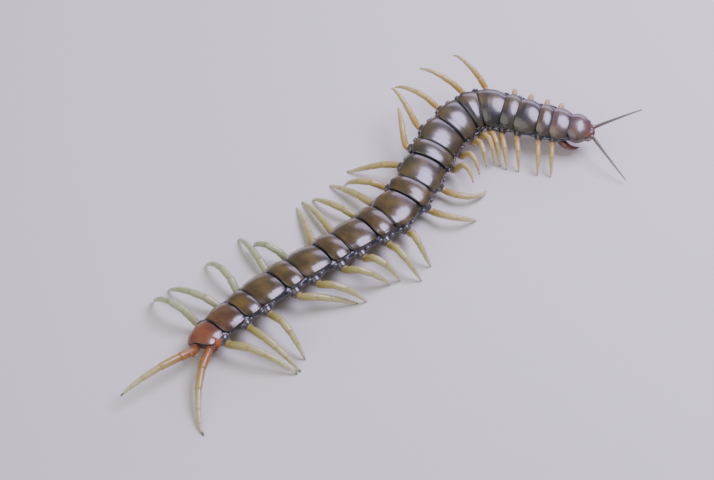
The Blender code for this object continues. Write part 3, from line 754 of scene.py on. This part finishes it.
class CENTIPEDE_OT_skin(bpy.types.Operator):
    """Soft skin of the trunk: one closed body from the neck to the tail under all plates"""

    bl_idname = "centipede.skin"
    bl_label = "Soft Skin"

    def execute(self, context):
        start, past_neck = SKIN_ENDS
        length = REAR_EDGES[0] + past_neck - start

        def place(turn, along):
            side, share = ("right", turn * 2) if turn <= 0.5 else ("left", 2 - turn * 2)
            distance = start + along * length
            point = skin_point(side, distance, share)
            close = min(1.0, (distance - start) / (1.6 * MM) + 0.45)
            point.x *= close
            point.z *= close
            return point, min(1.0, max(0.0, (share - 0.66) / 0.1))

        shape = rolled(48, 256, place, ("under",))
        bend(shape)
        piece("soft_skin", shape, skin_finish(context.scene.centipede_skin), trunk_nodes())
        return {"FINISHED"}


def arch(u, distance, width, lift, lean):
    """Point of an arched plate at a share u of its half width, lifted off the body along a leaning normal."""
    angle = u * BACK_TURN
    out = Vector((lean * math.sin(angle), 0, math.cos(angle) + 0.2)).normalized()
    height = BACK_EDGE_HEIGHT + BACK_RISE * math.cos(angle)
    return Vector((math.sin(angle) * width, distance, height * width)) + out * lift


def back_plate(number, settings):
    """Back plate: an arched sheet with rounded corners and a raised rim, given the thickness of its shell."""
    rear = REAR_EDGES[number] - settings.overlap
    length = plate_length(number) + settings.overlap + PLATE_TUCK
    tail = number == PLATES

    def place(u, t):
        share = t**1.25
        round_rear = (2.2 * abs(u) ** 3 if tail else 1.3 * abs(u) ** 6) * (1 - share) ** 4
        distance = rear + share * length + round_rear * MM
        width = half_width(distance) * table(PLATE_WIDTHS, share) * (0.93 if tail else 1.0)
        lift = table(PLATE_LIFTS, share) * MM
        rim = settings.rim * (hump(abs(u) - 0.93, 0.045) + 0.8 * hump(share - 0.035, 0.03))
        groove = -0.35 * settings.rim * hump(abs(u) - 0.84, 0.03)
        point = arch(u, distance, width, lift + rim + groove, PLATE_LEAN)
        # Painted shade: in front of the tuck line, where the plate lies under the last one, it is painted black
        # through the edge mark
        tuck_line = 0.72 + 0.12 * abs(u) ** 2.4 if number == 1 else 0.785
        tucked = min(1.0, max(0.0, (share - tuck_line) / 0.05))
        edge = max(hump(share, 0.03), 0.7 * hump(1 - abs(u), 0.04), 0.95 * tucked)
        return point, number / PLATES, edge, share, abs(u)

    return shell(28, 20, place, PLATE_MARKS, settings.thickness)


class CENTIPEDE_OT_back_plates(bpy.types.Operator):
    """The twenty-one overlapping back plates, in one piece for each length of the trunk"""

    bl_idname = "centipede.back_plates"
    bl_label = "Back Plates"

    def execute(self, context):
        settings = context.scene.centipede_shell
        stops = (
            (0.03, "5E4A48"), (0.12, settings.front), (0.26, settings.front), (0.38, settings.middle),
            (0.46, settings.middle), (0.54, settings.hind), (0.90, settings.hind), (0.955, "583820"),
            (0.985, settings.last),
        )
        finish = back_finish("wet_tanned_chitin", settings, stops)
        for (first, last), node in zip(TRUNK_NODES, trunk_nodes()):
            whole = bmesh.new()
            for number in range(first, last + 1):
                shape = back_plate(number, settings)
                bend(shape)
                join(whole, shape)
            piece("back_plates_" + node[6:], whole, finish, [node])
        return {"FINISHED"}


class CENTIPEDE_OT_belly_plates(bpy.types.Operator):
    """Belly plates: one flat, rounded plate under each back plate, with two fine grooves along it"""

    bl_idname = "centipede.belly_plates"
    bl_label = "Belly Plates"

    def execute(self, context):
        settings = context.scene.centipede_shell
        whole = bmesh.new()
        for number in range(2, PLATES + 1):
            rear = REAR_EDGES[number] + 0.5 * MM
            length = plate_length(number) - 0.9 * MM

            def place(u, t, rear=rear, length=length, number=number):
                corner = 0.9 * abs(u) ** 5 * (abs(2 * t - 1) ** 4) * MM
                distance = rear + t * length + corner * (1 if t < 0.5 else -1)
                width = half_width(distance)
                groove = 0.10 * hump(abs(u) - 0.38, 0.07) * MM
                drop = (0.30 - 0.30 * abs(u) ** 4) * MM
                height = BELLY_HEIGHT * width + 0.05 * width * abs(u) ** 2.5 - drop + groove
                return Vector((-0.56 * u * width, distance, height)), t

            shape = shell(16, 8, place, ("along",), settings.thickness)
            bend(shape)
            join(whole, shape)
        stops = ((0.0, "4A2C18"), (0.15, settings.belly), (0.9, settings.belly), (1.0, "4A2C18"))
        piece("belly_plates", whole, plain_chitin("amber_belly_chitin", stops))
        return {"FINISHED"}


def flank_frame(side, distance, share):
    """Frame on the bent flank, z out of the skin and y forward."""
    here = LINE.frame(distance)
    point = skin_point(side, distance, share)
    above = skin_point(side, distance, share - 0.04)
    below = skin_point(side, distance, share + 0.04)
    down = (below - above).normalized()
    out = Vector((-down.z, 0, down.x))
    if out.x * SIDES[side] < 0:
        out = -out
    forward = Vector((0, 1, 0))
    local = frame_from(forward.cross(out), forward, out, Vector((point.x, 0, point.z)))
    return here @ local


class CENTIPEDE_OT_flank_plates(bpy.types.Operator):
    """Small hard plates in the soft flank around each hip, and the breathing slits"""

    bl_idname = "centipede.flank_plates"
    bl_label = "Flank Plates"

    def execute(self, context):
        shape = bmesh.new()
        for side, number, hip in HIPS:
            size = half_width(hip) / WIDEST
            for ahead, share, length, width, height in FLANK_PLATES:
                distance = hip + ahead * size * MM
                dome(shape, flank_frame(side, distance, share), (width * size, length * size, height * size))
            if number in SPIRACLE_PLATES:
                ahead, share, *sizes = SPIRACLE
                dome(shape, flank_frame(side, hip + ahead * size * MM, share), [value * size for value in sizes])
        piece("flank_plates", shape, hip_finish(context.scene.centipede_skin))
        return {"FINISHED"}


# Legs

def leg_radius(number):
    return 0.5 * table(LEG_THICKNESS, number) * MM


def hip(number, side):
    """Root and end of a hip, and the level direction that it points in."""
    distance = hip_distance(number, side)
    here = LINE.frame(distance)
    width = 0.5 * table(TRUNK_WIDTHS, number + 1 - table(HIP_PLACES[side], number)) * MM
    sign = SIDES[side]
    root = here @ Vector((sign * HIP_ROOT[0] * width, 0, HIP_ROOT[1] * width))
    end = here @ Vector((sign * HIP_END[0] * width, 0, HIP_END[1] * width))
    outward = sign * here.to_3x3().col[0]
    return root, end, Vector((outward.x, outward.y, 0)).normalized()


def run_length(points):
    return sum((b - a).length for a, b in zip(points, points[1:]))


def arch_route(start, heading, reach, end_height, length, steps, lean):
    """Arch from start to a claw at a level reach, bulged until it has its length."""
    up = Matrix.Rotation(lean, 3, heading) @ Vector((0, 0, 1))
    end = start + heading * reach
    end.z = max(end_height, LOWEST_CLAW)
    low, high = 0.0, length
    for _ in range(BISECTIONS):
        bulge = (low + high) / 2
        first = start + heading * ARCH_HANDLES[0] * reach + up * bulge
        second = start.lerp(end, ARCH_HANDLES[1]) + up * bulge
        points = interpolate_bezier(start, first, second, end, steps)
        if run_length(points) < length:
            low = bulge
        else:
            high = bulge
    return points


def point_at(points, share):
    """Point at a share of a route's length."""
    left = share * run_length(points)
    for a, b in zip(points, points[1:]):
        step = (b - a).length
        if left <= step:
            return a.lerp(b, left / step)
        left -= step
    return points[-1]


def jointed_limb(points, joints, taper, radius, straightness=0.65):
    """Limb of straight articles that swell towards their joints, with a curved claw at its end."""
    shape = bmesh.new()
    shape.verts.layers.float.new("along")
    joint_mark = shape.verts.layers.float.new("joint")
    route, radii, shares, creases = [], [], [], []
    for first, last in zip(joints, joints[1:]):
        a, b = point_at(points, first), point_at(points, last)
        for step, swell in ARTICLE:
            if step == 0.0 and route:
                continue
            share = first + (last - first) * step
            route.append(point_at(points, share).lerp(a.lerp(b, step), straightness))
            radii.append(table(taper, share) * radius * swell)
            shares.append(share)
            creases.append(0.45 if step in (0.0, 1.0) else 0.12 if step in (0.05, 0.97) else 0.0)
    for share, swell in ((joints[-1] + 0.004, 0.9), *CLAW_SWELLS):
        route.append(point_at(points, share))
        radii.append(table(taper, share) * radius * swell)
        shares.append(share)
        creases.append(0.0)
    made = sweep(shape, route, radii, LEG_SIDES, "along", shares)
    for k, vert in enumerate(made):
        vert[joint_mark] = creases[k // LEG_SIDES]
    return shape


def above_floor(shape):
    for vert in shape.verts:
        vert.co.z = max(vert.co.z, FLOOR_GAP)


def walking_leg_route(number, side):
    swing, reach, claw_height, lean = (RIGHT_LEGS if side == "right" else LEFT_LEGS)[number - 1]
    hip_root, hip_end, outward = hip(number, side)
    axis = (hip_end - hip_root).normalized()
    root = hip_end + axis * NODE_GAP
    start = root + axis * TROCHANTER
    heading = Matrix.Rotation(SIDES[side] * math.radians(swing), 3, "Z") @ outward
    length = table(LEG_LENGTHS, number) * MM - TROCHANTER
    lean = SIDES[side] * math.radians(lean)
    arch = arch_route(start, heading, reach * MM, claw_height * MM, length, 40, lean)
    return [hip_end - axis * NODE_GAP, root, *arch]


class CENTIPEDE_OT_hips(bpy.types.Operator):
    """Hips: a swollen collar on the flank that each walking leg grows from"""

    bl_idname = "centipede.hips"
    bl_label = "Hips"

    def execute(self, context):
        shape = bmesh.new()
        for side, number, _ in HIPS:
            root, end, _ = hip(number, side)
            spindle(shape, root, end, [(share, swell * leg_radius(number)) for share, swell in HIP_SWELLS])
        piece("hips", shape, hip_finish(context.scene.centipede_skin))
        return {"FINISHED"}


class CENTIPEDE_OT_walking_legs(bpy.types.Operator):
    """Forty walking legs of seven articles each, from the hip collar to the claw"""

    bl_idname = "centipede.walking_legs"
    bl_label = "Walking Legs"

    def execute(self, context):
        settings = context.scene.centipede_legs
        stops = ((0.0, settings.root), (0.12, "9A9050"), (0.30, settings.hind), (0.66, "B4B27A"), (0.9, settings.tip))
        finish = leg_finish("waxy_leg_chitin", settings, stops)
        for side, number, _ in HIPS:
            shape = jointed_limb(walking_leg_route(number, side), LEG_JOINTS, LEG_TAPER, leg_radius(number))
            above_floor(shape)
            mark_all(shape, "pair", number)
            # Painted light: the left legs behind a given pair are marked to be painted paler
            mark_all(shape, "pale", FAR_HIND_LEG_PAINTED_LIGHT if side == "left" and number > LAST_LEG_BEFORE_PAINTED_LIGHT else 0.0)
            node = f"leg_{side}_{number:02d}"
            piece("walking_" + node, shape, finish, [node])
        return {"FINISHED"}


def tail_frame(side):
    width = half_width(0.0)
    here = LINE.frame(0.0)
    return here, Vector((SIDES[side] * TERMINAL_ROOT[0] * width, -TERMINAL_STUB, TERMINAL_ROOT[1] * width))


class CENTIPEDE_OT_terminal_legs(bpy.types.Operator):
    """The pair of long terminal legs, with short spines on their first article"""

    bl_idname = "centipede.terminal_legs"
    bl_label = "Terminal Legs"

    def execute(self, context):
        settings = context.scene.centipede_legs
        stops = ((0.0, settings.terminal), (0.20, "96602C"), (0.38, "A88C4C"), (0.6, "B9B077"), (0.9, "C4C296"))
        finish = leg_finish("waxy_orange_leg_chitin", settings, stops)
        for side, sign in SIDES.items():
            splay, reach, claw_height, lean = TERMINAL_POSES[side]
            here, stub_end = tail_frame(side)
            backward = -here.to_3x3().col[1]
            root = here @ stub_end + backward * NODE_GAP
            start = root + backward * TROCHANTER
            level = Vector((backward.x, backward.y, 0)).normalized()
            heading = Matrix.Rotation(sign * math.radians(splay), 3, "Z") @ level
            lean = sign * math.radians(lean)
            arch = arch_route(start, heading, reach * MM, claw_height * MM, TERMINAL_LENGTH, 60, lean)
            points = [root - backward * 1.2 * MM, root, *arch]
            shape = jointed_limb(points, TERMINAL_JOINTS, TERMINAL_TAPER, TERMINAL_RADIUS, 0.4)
            inward = -sign * here.to_3x3().col[0]
            for share, drop in SPINE_ROWS:
                place = point_at(points, share)
                out = (inward + heading * 0.5 + Vector((0, 0, drop))).normalized()
                skin = table(TERMINAL_TAPER, share) * TERMINAL_RADIUS
                sweep(shape, [place + out * (skin + d) for d in mm(-0.5, 0.0, 0.4, 0.8)], mm(0.5, 0.42, 0.25, 0.04), 8,
                      "along", (0.2, 0.2, 0.5, 0.965))
            above_floor(shape)
            mark_all(shape, "pair", 21)
            piece(f"long_terminal_leg_{side}", shape, finish, [f"terminal_leg_{side}"])
        return {"FINISHED"}


class CENTIPEDE_OT_tail(bpy.types.Operator):
    """Swollen side lobes of the tail, each with a small point, and the sockets of the terminal legs"""

    bl_idname = "centipede.tail"
    bl_label = "Tail"

    def execute(self, context):
        shape = bmesh.new()
        width = half_width(0.0)
        for side, sign in SIDES.items():
            here, stub_end = tail_frame(side)
            (x0, y0, z0, r0), (x1, y1, z1, r1) = LOBE_ENDS
            front = Vector((sign * x0 * width, y0 * MM, z0 * width))
            rear = Vector((sign * x1 * width, y1 * MM, z1 * width))
            places = [front.lerp(rear, t) for t, _ in LOBE_SWELLS]
            sweep(shape, [LINE.frame(spot.y) @ Vector((spot.x, 0, spot.z)) for spot in places],
                  [(r0 + (r1 - r0) * min(t, 1.0)) * r * MM for t, r in LOBE_SWELLS], 16, "along",
                  [t for t, _ in LOBE_SWELLS])
            sweep(shape, [here @ (stub_end + Vector((0, y * MM, 0))) for y, _ in TERMINAL_SOCKET],
                  [r * TERMINAL_RADIUS for _, r in TERMINAL_SOCKET], 16, "along", [0.9] * len(TERMINAL_SOCKET))
        stops = ((0.0, "8E4016"), (0.5, "C05C22"), (0.8, "A85422"), (0.9, "7C3C1E"), (1.0, "4A1C0C"))
        piece("tail_lobes", shape, plain_chitin("orange_pitted_chitin", stops, grain=0.35))
        return {"FINISHED"}


# Head

def head_width(y):
    return table(HEAD_WIDTHS, y / HEAD_LENGTH) * MM


class CENTIPEDE_OT_head(bpy.types.Operator):
    """Head: the capsule, the plate over it, the lip in front and the sockets of the antennae"""

    bl_idname = "centipede.head"
    bl_label = "Head"

    def execute(self, context):
        settings = context.scene.centipede_shell
        capsule = rolled(40, 26, self.capsule_place, ("along",))
        capsule.transform(NECK)
        for sign in SIDES.values():
            root, end = in_neck((ANTENNA_ROOT, ANTENNA_SOCKET), sign)
            rows = [(share, swell * ANTENNA_RADII[0] * MM) for share, swell in SOCKET_SWELLS]
            spindle(capsule, root, end, rows, 14, "along", 0.9)
        lip = NECK @ Matrix.Translation(Vector((0, 9.0, -0.7)) * MM)
        dome(capsule, lip, (2.3, 1.5, 1.2), 14)
        stops = ((0.0, "3A2E28"), (0.6, "54382E"), (0.85, "5E463C"), (1.0, "6E4A3C"))
        piece("head_capsule", capsule, plain_chitin("red_brown_head_chitin", stops), ["head"])

        shield = shell(28, 24, self.shield_place, PLATE_MARKS, settings.thickness)
        shield.transform(NECK)
        stops = ((0.0, settings.head), (0.62, settings.head), (0.82, "64403A"), (1.0, "783A30"))
        # The head plate takes the back plates' finish, with its painted shade towards the sides and the front
        finish = back_finish("wet_tanned_head_chitin", settings, stops)
        piece("head_plate", shield, finish)
        return {"FINISHED"}

    @staticmethod
    def capsule_place(turn, along):
        sign, share = (1, turn * 2) if turn <= 0.5 else (-1, 2 - turn * 2)
        y = -HEAD_TUCK + along * (HEAD_LENGTH + HEAD_TUCK)
        width = head_width(y)
        close = 1.0 - 0.55 * max(0.0, (along - 0.86) / 0.14) ** 2.5
        x, z = table(SKIN_OUTLINE, share)
        return Vector((sign * x * 1.06 * width * close, y, z * width * close)), along

    def shield_place(self, u, t):
        rear, front = SHIELD_ENDS
        notch = 0.9 * abs(u) ** 3 * t**6 - 0.45 * hump(u, 0.14) * t**10
        corner = 2.8 * abs(u) ** 2.4 * (1 - t) ** 3
        y = rear + t * (front - rear) + (corner - notch) * MM
        width = table(SHIELD_WIDTHS, y / HEAD_LENGTH) * MM
        lift = (0.30 + 0.35 * math.sin(math.pi * min(1.0, t * 1.15)) ** 0.8) * MM
        furrow = -0.32 * hump(u, 0.05) * max(0.0, (t - 0.62) / 0.38) * MM
        rim = 0.04 * MM * hump(t - 0.05, 0.03)
        point = arch(u, y, width, lift + rim + furrow, SHIELD_LEAN)
        # The edge mark paints black along the rear edge, as painted shade in the gap where the head plate lies over
        # the first back plate, and along the sides and the furrow at the front
        edge = max(hump(t, 0.07), 0.5 * hump(1 - abs(u), 0.03), 0.9 * hump(u, 0.05) * max(0.0, (t - 0.6) / 0.4))
        return point, t, edge, 0.6 * t, abs(u)


class CENTIPEDE_OT_eyes(bpy.types.Operator):
    """Four small round lenses on each side of the head, on a dark patch"""

    bl_idname = "centipede.eyes"
    bl_label = "Eyes"

    def execute(self, context):
        # Black polished chitin lens: almost a mirror, so that each lens holds one small highlight
        material, tree, shader, _ = new_finish("polished_black_lens")
        surface(tree, shader, {"IOR": 1.56, "Roughness": 0.06, "Coat Weight": 1.0, "Coat Roughness": 0.02,
                               "Base Color": linear("070606")}, {})
        for side, sign in SIDES.items():
            out = Vector((sign * EYE_AIM[0], EYE_AIM[1], EYE_AIM[2])).normalized()
            turn = out.to_track_quat("Z", "Y").to_matrix().to_4x4()
            here = NECK @ Matrix.Translation(Vector((sign * EYE_PLACE[0], EYE_PLACE[1], EYE_PLACE[2])) * MM) @ turn
            shape = bmesh.new()
            dome(shape, here @ Matrix.Translation((0, 0, 0.25 * MM)), (1.0, 0.95, 0.3), 16)
            for quarter in range(4):
                angle = math.pi / 2 * (quarter + 0.5)
                shift = Vector((math.cos(angle), math.sin(angle), 0)) * 0.48 * MM + Vector((0, 0, 0.4 * MM))
                dome(shape, here @ Matrix.Translation(shift), (0.36, 0.36, 0.3), 14)
            piece(f"eye_lenses_{side}", shape, material, [f"eyes_{side}"])
        return {"FINISHED"}


class CENTIPEDE_OT_antennae(bpy.types.Operator):
    """Two tapered antennae of many short articles"""

    bl_idname = "centipede.antennae"
    bl_label = "Antennae"

    def execute(self, context):
        stops = ((0.0, "5E4A3E"), (0.12, "6A6258"), (0.5, "76746C"), (1.0, "8A8880"))
        finish = plain_chitin("velvety_antenna_chitin", stops, roughness=0.42, coat=0.25, grain=0.25)
        for side, sign in SIDES.items():
            root, end = in_neck((ANTENNA_ROOT, ANTENNA_SOCKET), sign)
            axis = (end - root).normalized()
            start = end + axis * NODE_GAP
            points = interpolate_bezier(start, *in_neck(ANTENNA_ROUTES[side]), 80)
            points = [end - axis * 0.4 * MM, *points]
            route, radii, shares = [], [], []
            for article in range(ANTENNA_ARTICLES):
                for step, swell in ANTENNA_ARTICLE:
                    share = (article + step) / ANTENNA_ARTICLES
                    route.append(point_at(points, share))
                    radii.append(table(((0.0, ANTENNA_RADII[0]), (1.0, ANTENNA_RADII[1])), share) * swell * MM)
                    shares.append(share)
            route.append(points[-1])
            radii.append(0.12 * MM)
            shares.append(1.0)
            shape = bmesh.new()
            sweep(shape, route, radii, 10, "along", shares)
            piece(f"feeler_{side}", shape, finish, [f"antenna_{side}"])
        return {"FINISHED"}


def creased(shape, points, radii, creases, spread, steps, segments, root=()):
    """Tapered limb along a route, drawn in at its creases, which hold a place and a share of the radius."""
    rows = [(k / (len(radii) - 1), radius) for k, radius in enumerate(radii)]
    shares = [k / steps for k in range(steps + 1)]
    sizes = []
    for share in shares:
        narrow = sum(depth * hump(share - place, spread) for place, depth in creases)
        sizes.append(table(rows, share) * (1 - narrow) * MM)
    route = [point_at(points, share) for share in shares]
    for point, radius in root:
        route, sizes, shares = [point, *route], [radius, *sizes], [0.0, *shares]
    sweep(shape, route, sizes, segments, "along", shares)


def pillow(rows, depth, power=0.55):
    """Rounded plate under the head whose half width runs over the rows, between two depths."""
    (start, _), (end, _) = rows[0], rows[-1]
    middle = 0.5 * (depth[0] + depth[1])
    half = 0.5 * (depth[0] - depth[1])

    def place(turn, along):
        angle = 2 * math.pi * turn
        s, c = math.sin(angle), math.cos(angle)
        y = start + along * (end - start)
        close = min(1.0, along * 7 + 0.35, (1 - along) * 9 + 0.45)
        x = math.copysign(abs(s) ** power, s) * table(rows, y)
        z = middle + math.copysign(abs(c) ** power, c) * half * close
        return Vector((x, y, z)) * MM, along

    shape = rolled(28, 18, place, ("along",))
    shape.transform(NECK)
    return shape


class CENTIPEDE_OT_poison_claws(bpy.types.Operator):
    """The two curved poison claws and the toothed plate that carries them"""

    bl_idname = "centipede.poison_claws"
    bl_label = "Poison Claws"

    def execute(self, context):
        stops = ((0.0, "66402E"), (0.45, "6E3C30"), (0.75, "622C24"), (0.9, "2A0C06"), (1.0, "0C0604"))
        finish = plain_chitin("polished_red_claw_chitin", stops, roughness=0.2, coat=1.0, grain=1.0)
        for side, sign in SIDES.items():
            points = smooth_route(in_neck(CLAW_ROUTE, sign), 8)
            root = points[0] - (points[1] - points[0]).normalized() * 0.5 * MM
            shape = bmesh.new()
            creased(shape, points, CLAW_RADII, CLAW_CREASES, 0.012, 44, 16, [(root, 1.4 * MM)])
            piece(f"poison_claw_{side}", shape, finish, [f"forcipule_{side}"])
        base = pillow(BASE_PLATE, BASE_PLATE_DEPTH)
        for sign in SIDES.values():
            points = in_neck(CLAW_ROUTE, sign)
            axis = (points[1] - points[0]).normalized()
            sweep(base, [points[0] - axis * d for d in mm(3.0, 1.5, 0.5, 0.3)], mm(1.3, 1.75, 1.8, 1.5), 14, "along",
                  (0.3, 0.3, 0.3, 0.2))
            for k in range(4):
                x = sign * (0.4 + 0.5 * k)
                root, tip = in_neck(((x, 2.1, -4.3), (x, 3.0 - 0.08 * k, -4.35)))
                sweep(base, [root, root.lerp(tip, 0.5), tip], mm(0.3, 0.27, 0.06), 8, "along", (0.8, 1.0, 1.0))
        stops = ((0.0, "5A3420"), (0.6, "7E4426"), (0.9, "7A2C14"), (1.0, "120806"))
        piece("claw_base_plate", base, plain_chitin("brown_base_plate_chitin", stops), ["forcipule_base"])
        return {"FINISHED"}


class CENTIPEDE_OT_mouth(bpy.types.Operator):
    """Mouth parts under the head, with a pair of small palps"""

    bl_idname = "centipede.mouth"
    bl_label = "Mouth Parts"

    def execute(self, context):
        shape = pillow(MOUTH_PLATE, MOUTH_PLATE_DEPTH)
        for sign in SIDES.values():
            points = smooth_route(in_neck(PALP_ROUTE, sign), 6)
            creased(shape, points, PALP_RADII, PALP_CREASES, 0.03, 18, 12)
        stops = ((0.0, "6A4028"), (0.7, "9A5A34"), (1.0, "4A2212"))
        piece("mouth_parts", shape, plain_chitin("amber_mouth_chitin", stops), ["maxillae"])
        return {"FINISHED"}


# Stage

class CENTIPEDE_OT_stage(bpy.types.Operator):
    """Plain pale floor, soft studio light and the camera"""

    bl_idname = "centipede.stage"
    bl_label = "Stage"

    def execute(self, context):
        settings = context.scene.centipede_stage
        shape = bmesh.new()
        bmesh.ops.create_grid(shape, x_segments=1, y_segments=1, size=1.5)
        mesh = bpy.data.meshes.new("floor")
        shape.to_mesh(mesh)
        shape.free()
        floor = new_object("floor", mesh)
        # Matt studio paper: pale, even and without gloss
        material, tree, shader, place = new_finish("matt_studio_paper")
        surface(tree, shader, {"Base Color": settings.floor, "Roughness": 0.85, "Specular IOR Level": 0.2},
                {"Normal": bumped(tree, noise(tree, place, 1.2), 0.2, 0.05 * MM)})
        mesh.materials.append(material)

        world = bpy.data.worlds.new("studio")
        context.scene.world = world
        world.use_nodes = True
        sky = world.node_tree.nodes["Background"]
        sky.inputs["Color"].default_value = linear("D8D8DC")
        sky.inputs["Strength"].default_value = 0.4

        for name, (place, aim, size, code) in LIGHTS.items():
            data = bpy.data.lights.new(name, "AREA")
            data.shape = "ELLIPSE"
            data.size, data.size_y = size
            data.energy = getattr(settings, name)
            data.color = linear(code)[:3]
            light = new_object(name, data)
            light.location = place
            light.rotation_euler = (Vector(aim) - Vector(place)).to_track_quat("-Z", "Y").to_euler()

        camera_data = bpy.data.cameras.new("camera")
        camera_data.lens = CAMERA_LENS
        camera_data.sensor_width = 36
        camera_data.clip_start = 0.01
        camera = new_object("camera", camera_data)
        away = Vector((0, -math.cos(CAMERA_ELEVATION), math.sin(CAMERA_ELEVATION)))
        camera.location = CAMERA_TARGET + away * CAMERA_DISTANCE
        camera.rotation_euler = (math.pi / 2 - CAMERA_ELEVATION, 0, 0)
        context.scene.camera = camera
        return {"FINISHED"}


OPERATORS = (
    CENTIPEDE_OT_skin,
    CENTIPEDE_OT_back_plates,
    CENTIPEDE_OT_belly_plates,
    CENTIPEDE_OT_flank_plates,
    CENTIPEDE_OT_hips,
    CENTIPEDE_OT_walking_legs,
    CENTIPEDE_OT_terminal_legs,
    CENTIPEDE_OT_tail,
    CENTIPEDE_OT_head,
    CENTIPEDE_OT_eyes,
    CENTIPEDE_OT_antennae,
    CENTIPEDE_OT_poison_claws,
    CENTIPEDE_OT_mouth,
    CENTIPEDE_OT_stage,
)
SETTINGS = {
    "centipede_shell": ShellSettings,
    "centipede_skin": SkinSettings,
    "centipede_legs": LegSettings,
    "centipede_stage": StageSettings,
}


class CENTIPEDE_PT_panel(bpy.types.Panel):
    """Settings and pieces of the centipede"""

    bl_idname = "CENTIPEDE_PT_panel"
    bl_label = "Giant Centipede"
    bl_space_type = "VIEW_3D"
    bl_region_type = "UI"
    bl_category = "Centipede"

    def draw(self, context):
        for name, group in SETTINGS.items():
            box = self.layout.box()
            for key in group.__annotations__:
                box.prop(getattr(context.scene, name), key)
        for operator in OPERATORS:
            self.layout.operator(operator.bl_idname)


CLASSES = (*SETTINGS.values(), *OPERATORS, CENTIPEDE_PT_panel)


def register():
    for cls in CLASSES:
        bpy.utils.register_class(cls)
    for name, group in SETTINGS.items():
        setattr(bpy.types.Scene, name, PointerProperty(type=group))


def unregister():
    for name in SETTINGS:
        delattr(bpy.types.Scene, name)
    for cls in reversed(CLASSES):
        bpy.utils.unregister_class(cls)


def main():
    register()
    bpy.ops.centipede.skin()
    bpy.ops.centipede.back_plates()
    bpy.ops.centipede.belly_plates()
    bpy.ops.centipede.flank_plates()
    bpy.ops.centipede.hips()
    bpy.ops.centipede.walking_legs()
    bpy.ops.centipede.terminal_legs()
    bpy.ops.centipede.tail()
    bpy.ops.centipede.head()
    bpy.ops.centipede.eyes()
    bpy.ops.centipede.antennae()
    bpy.ops.centipede.poison_claws()
    bpy.ops.centipede.mouth()
    bpy.ops.centipede.stage()


if __name__ == "__main__":
    main()
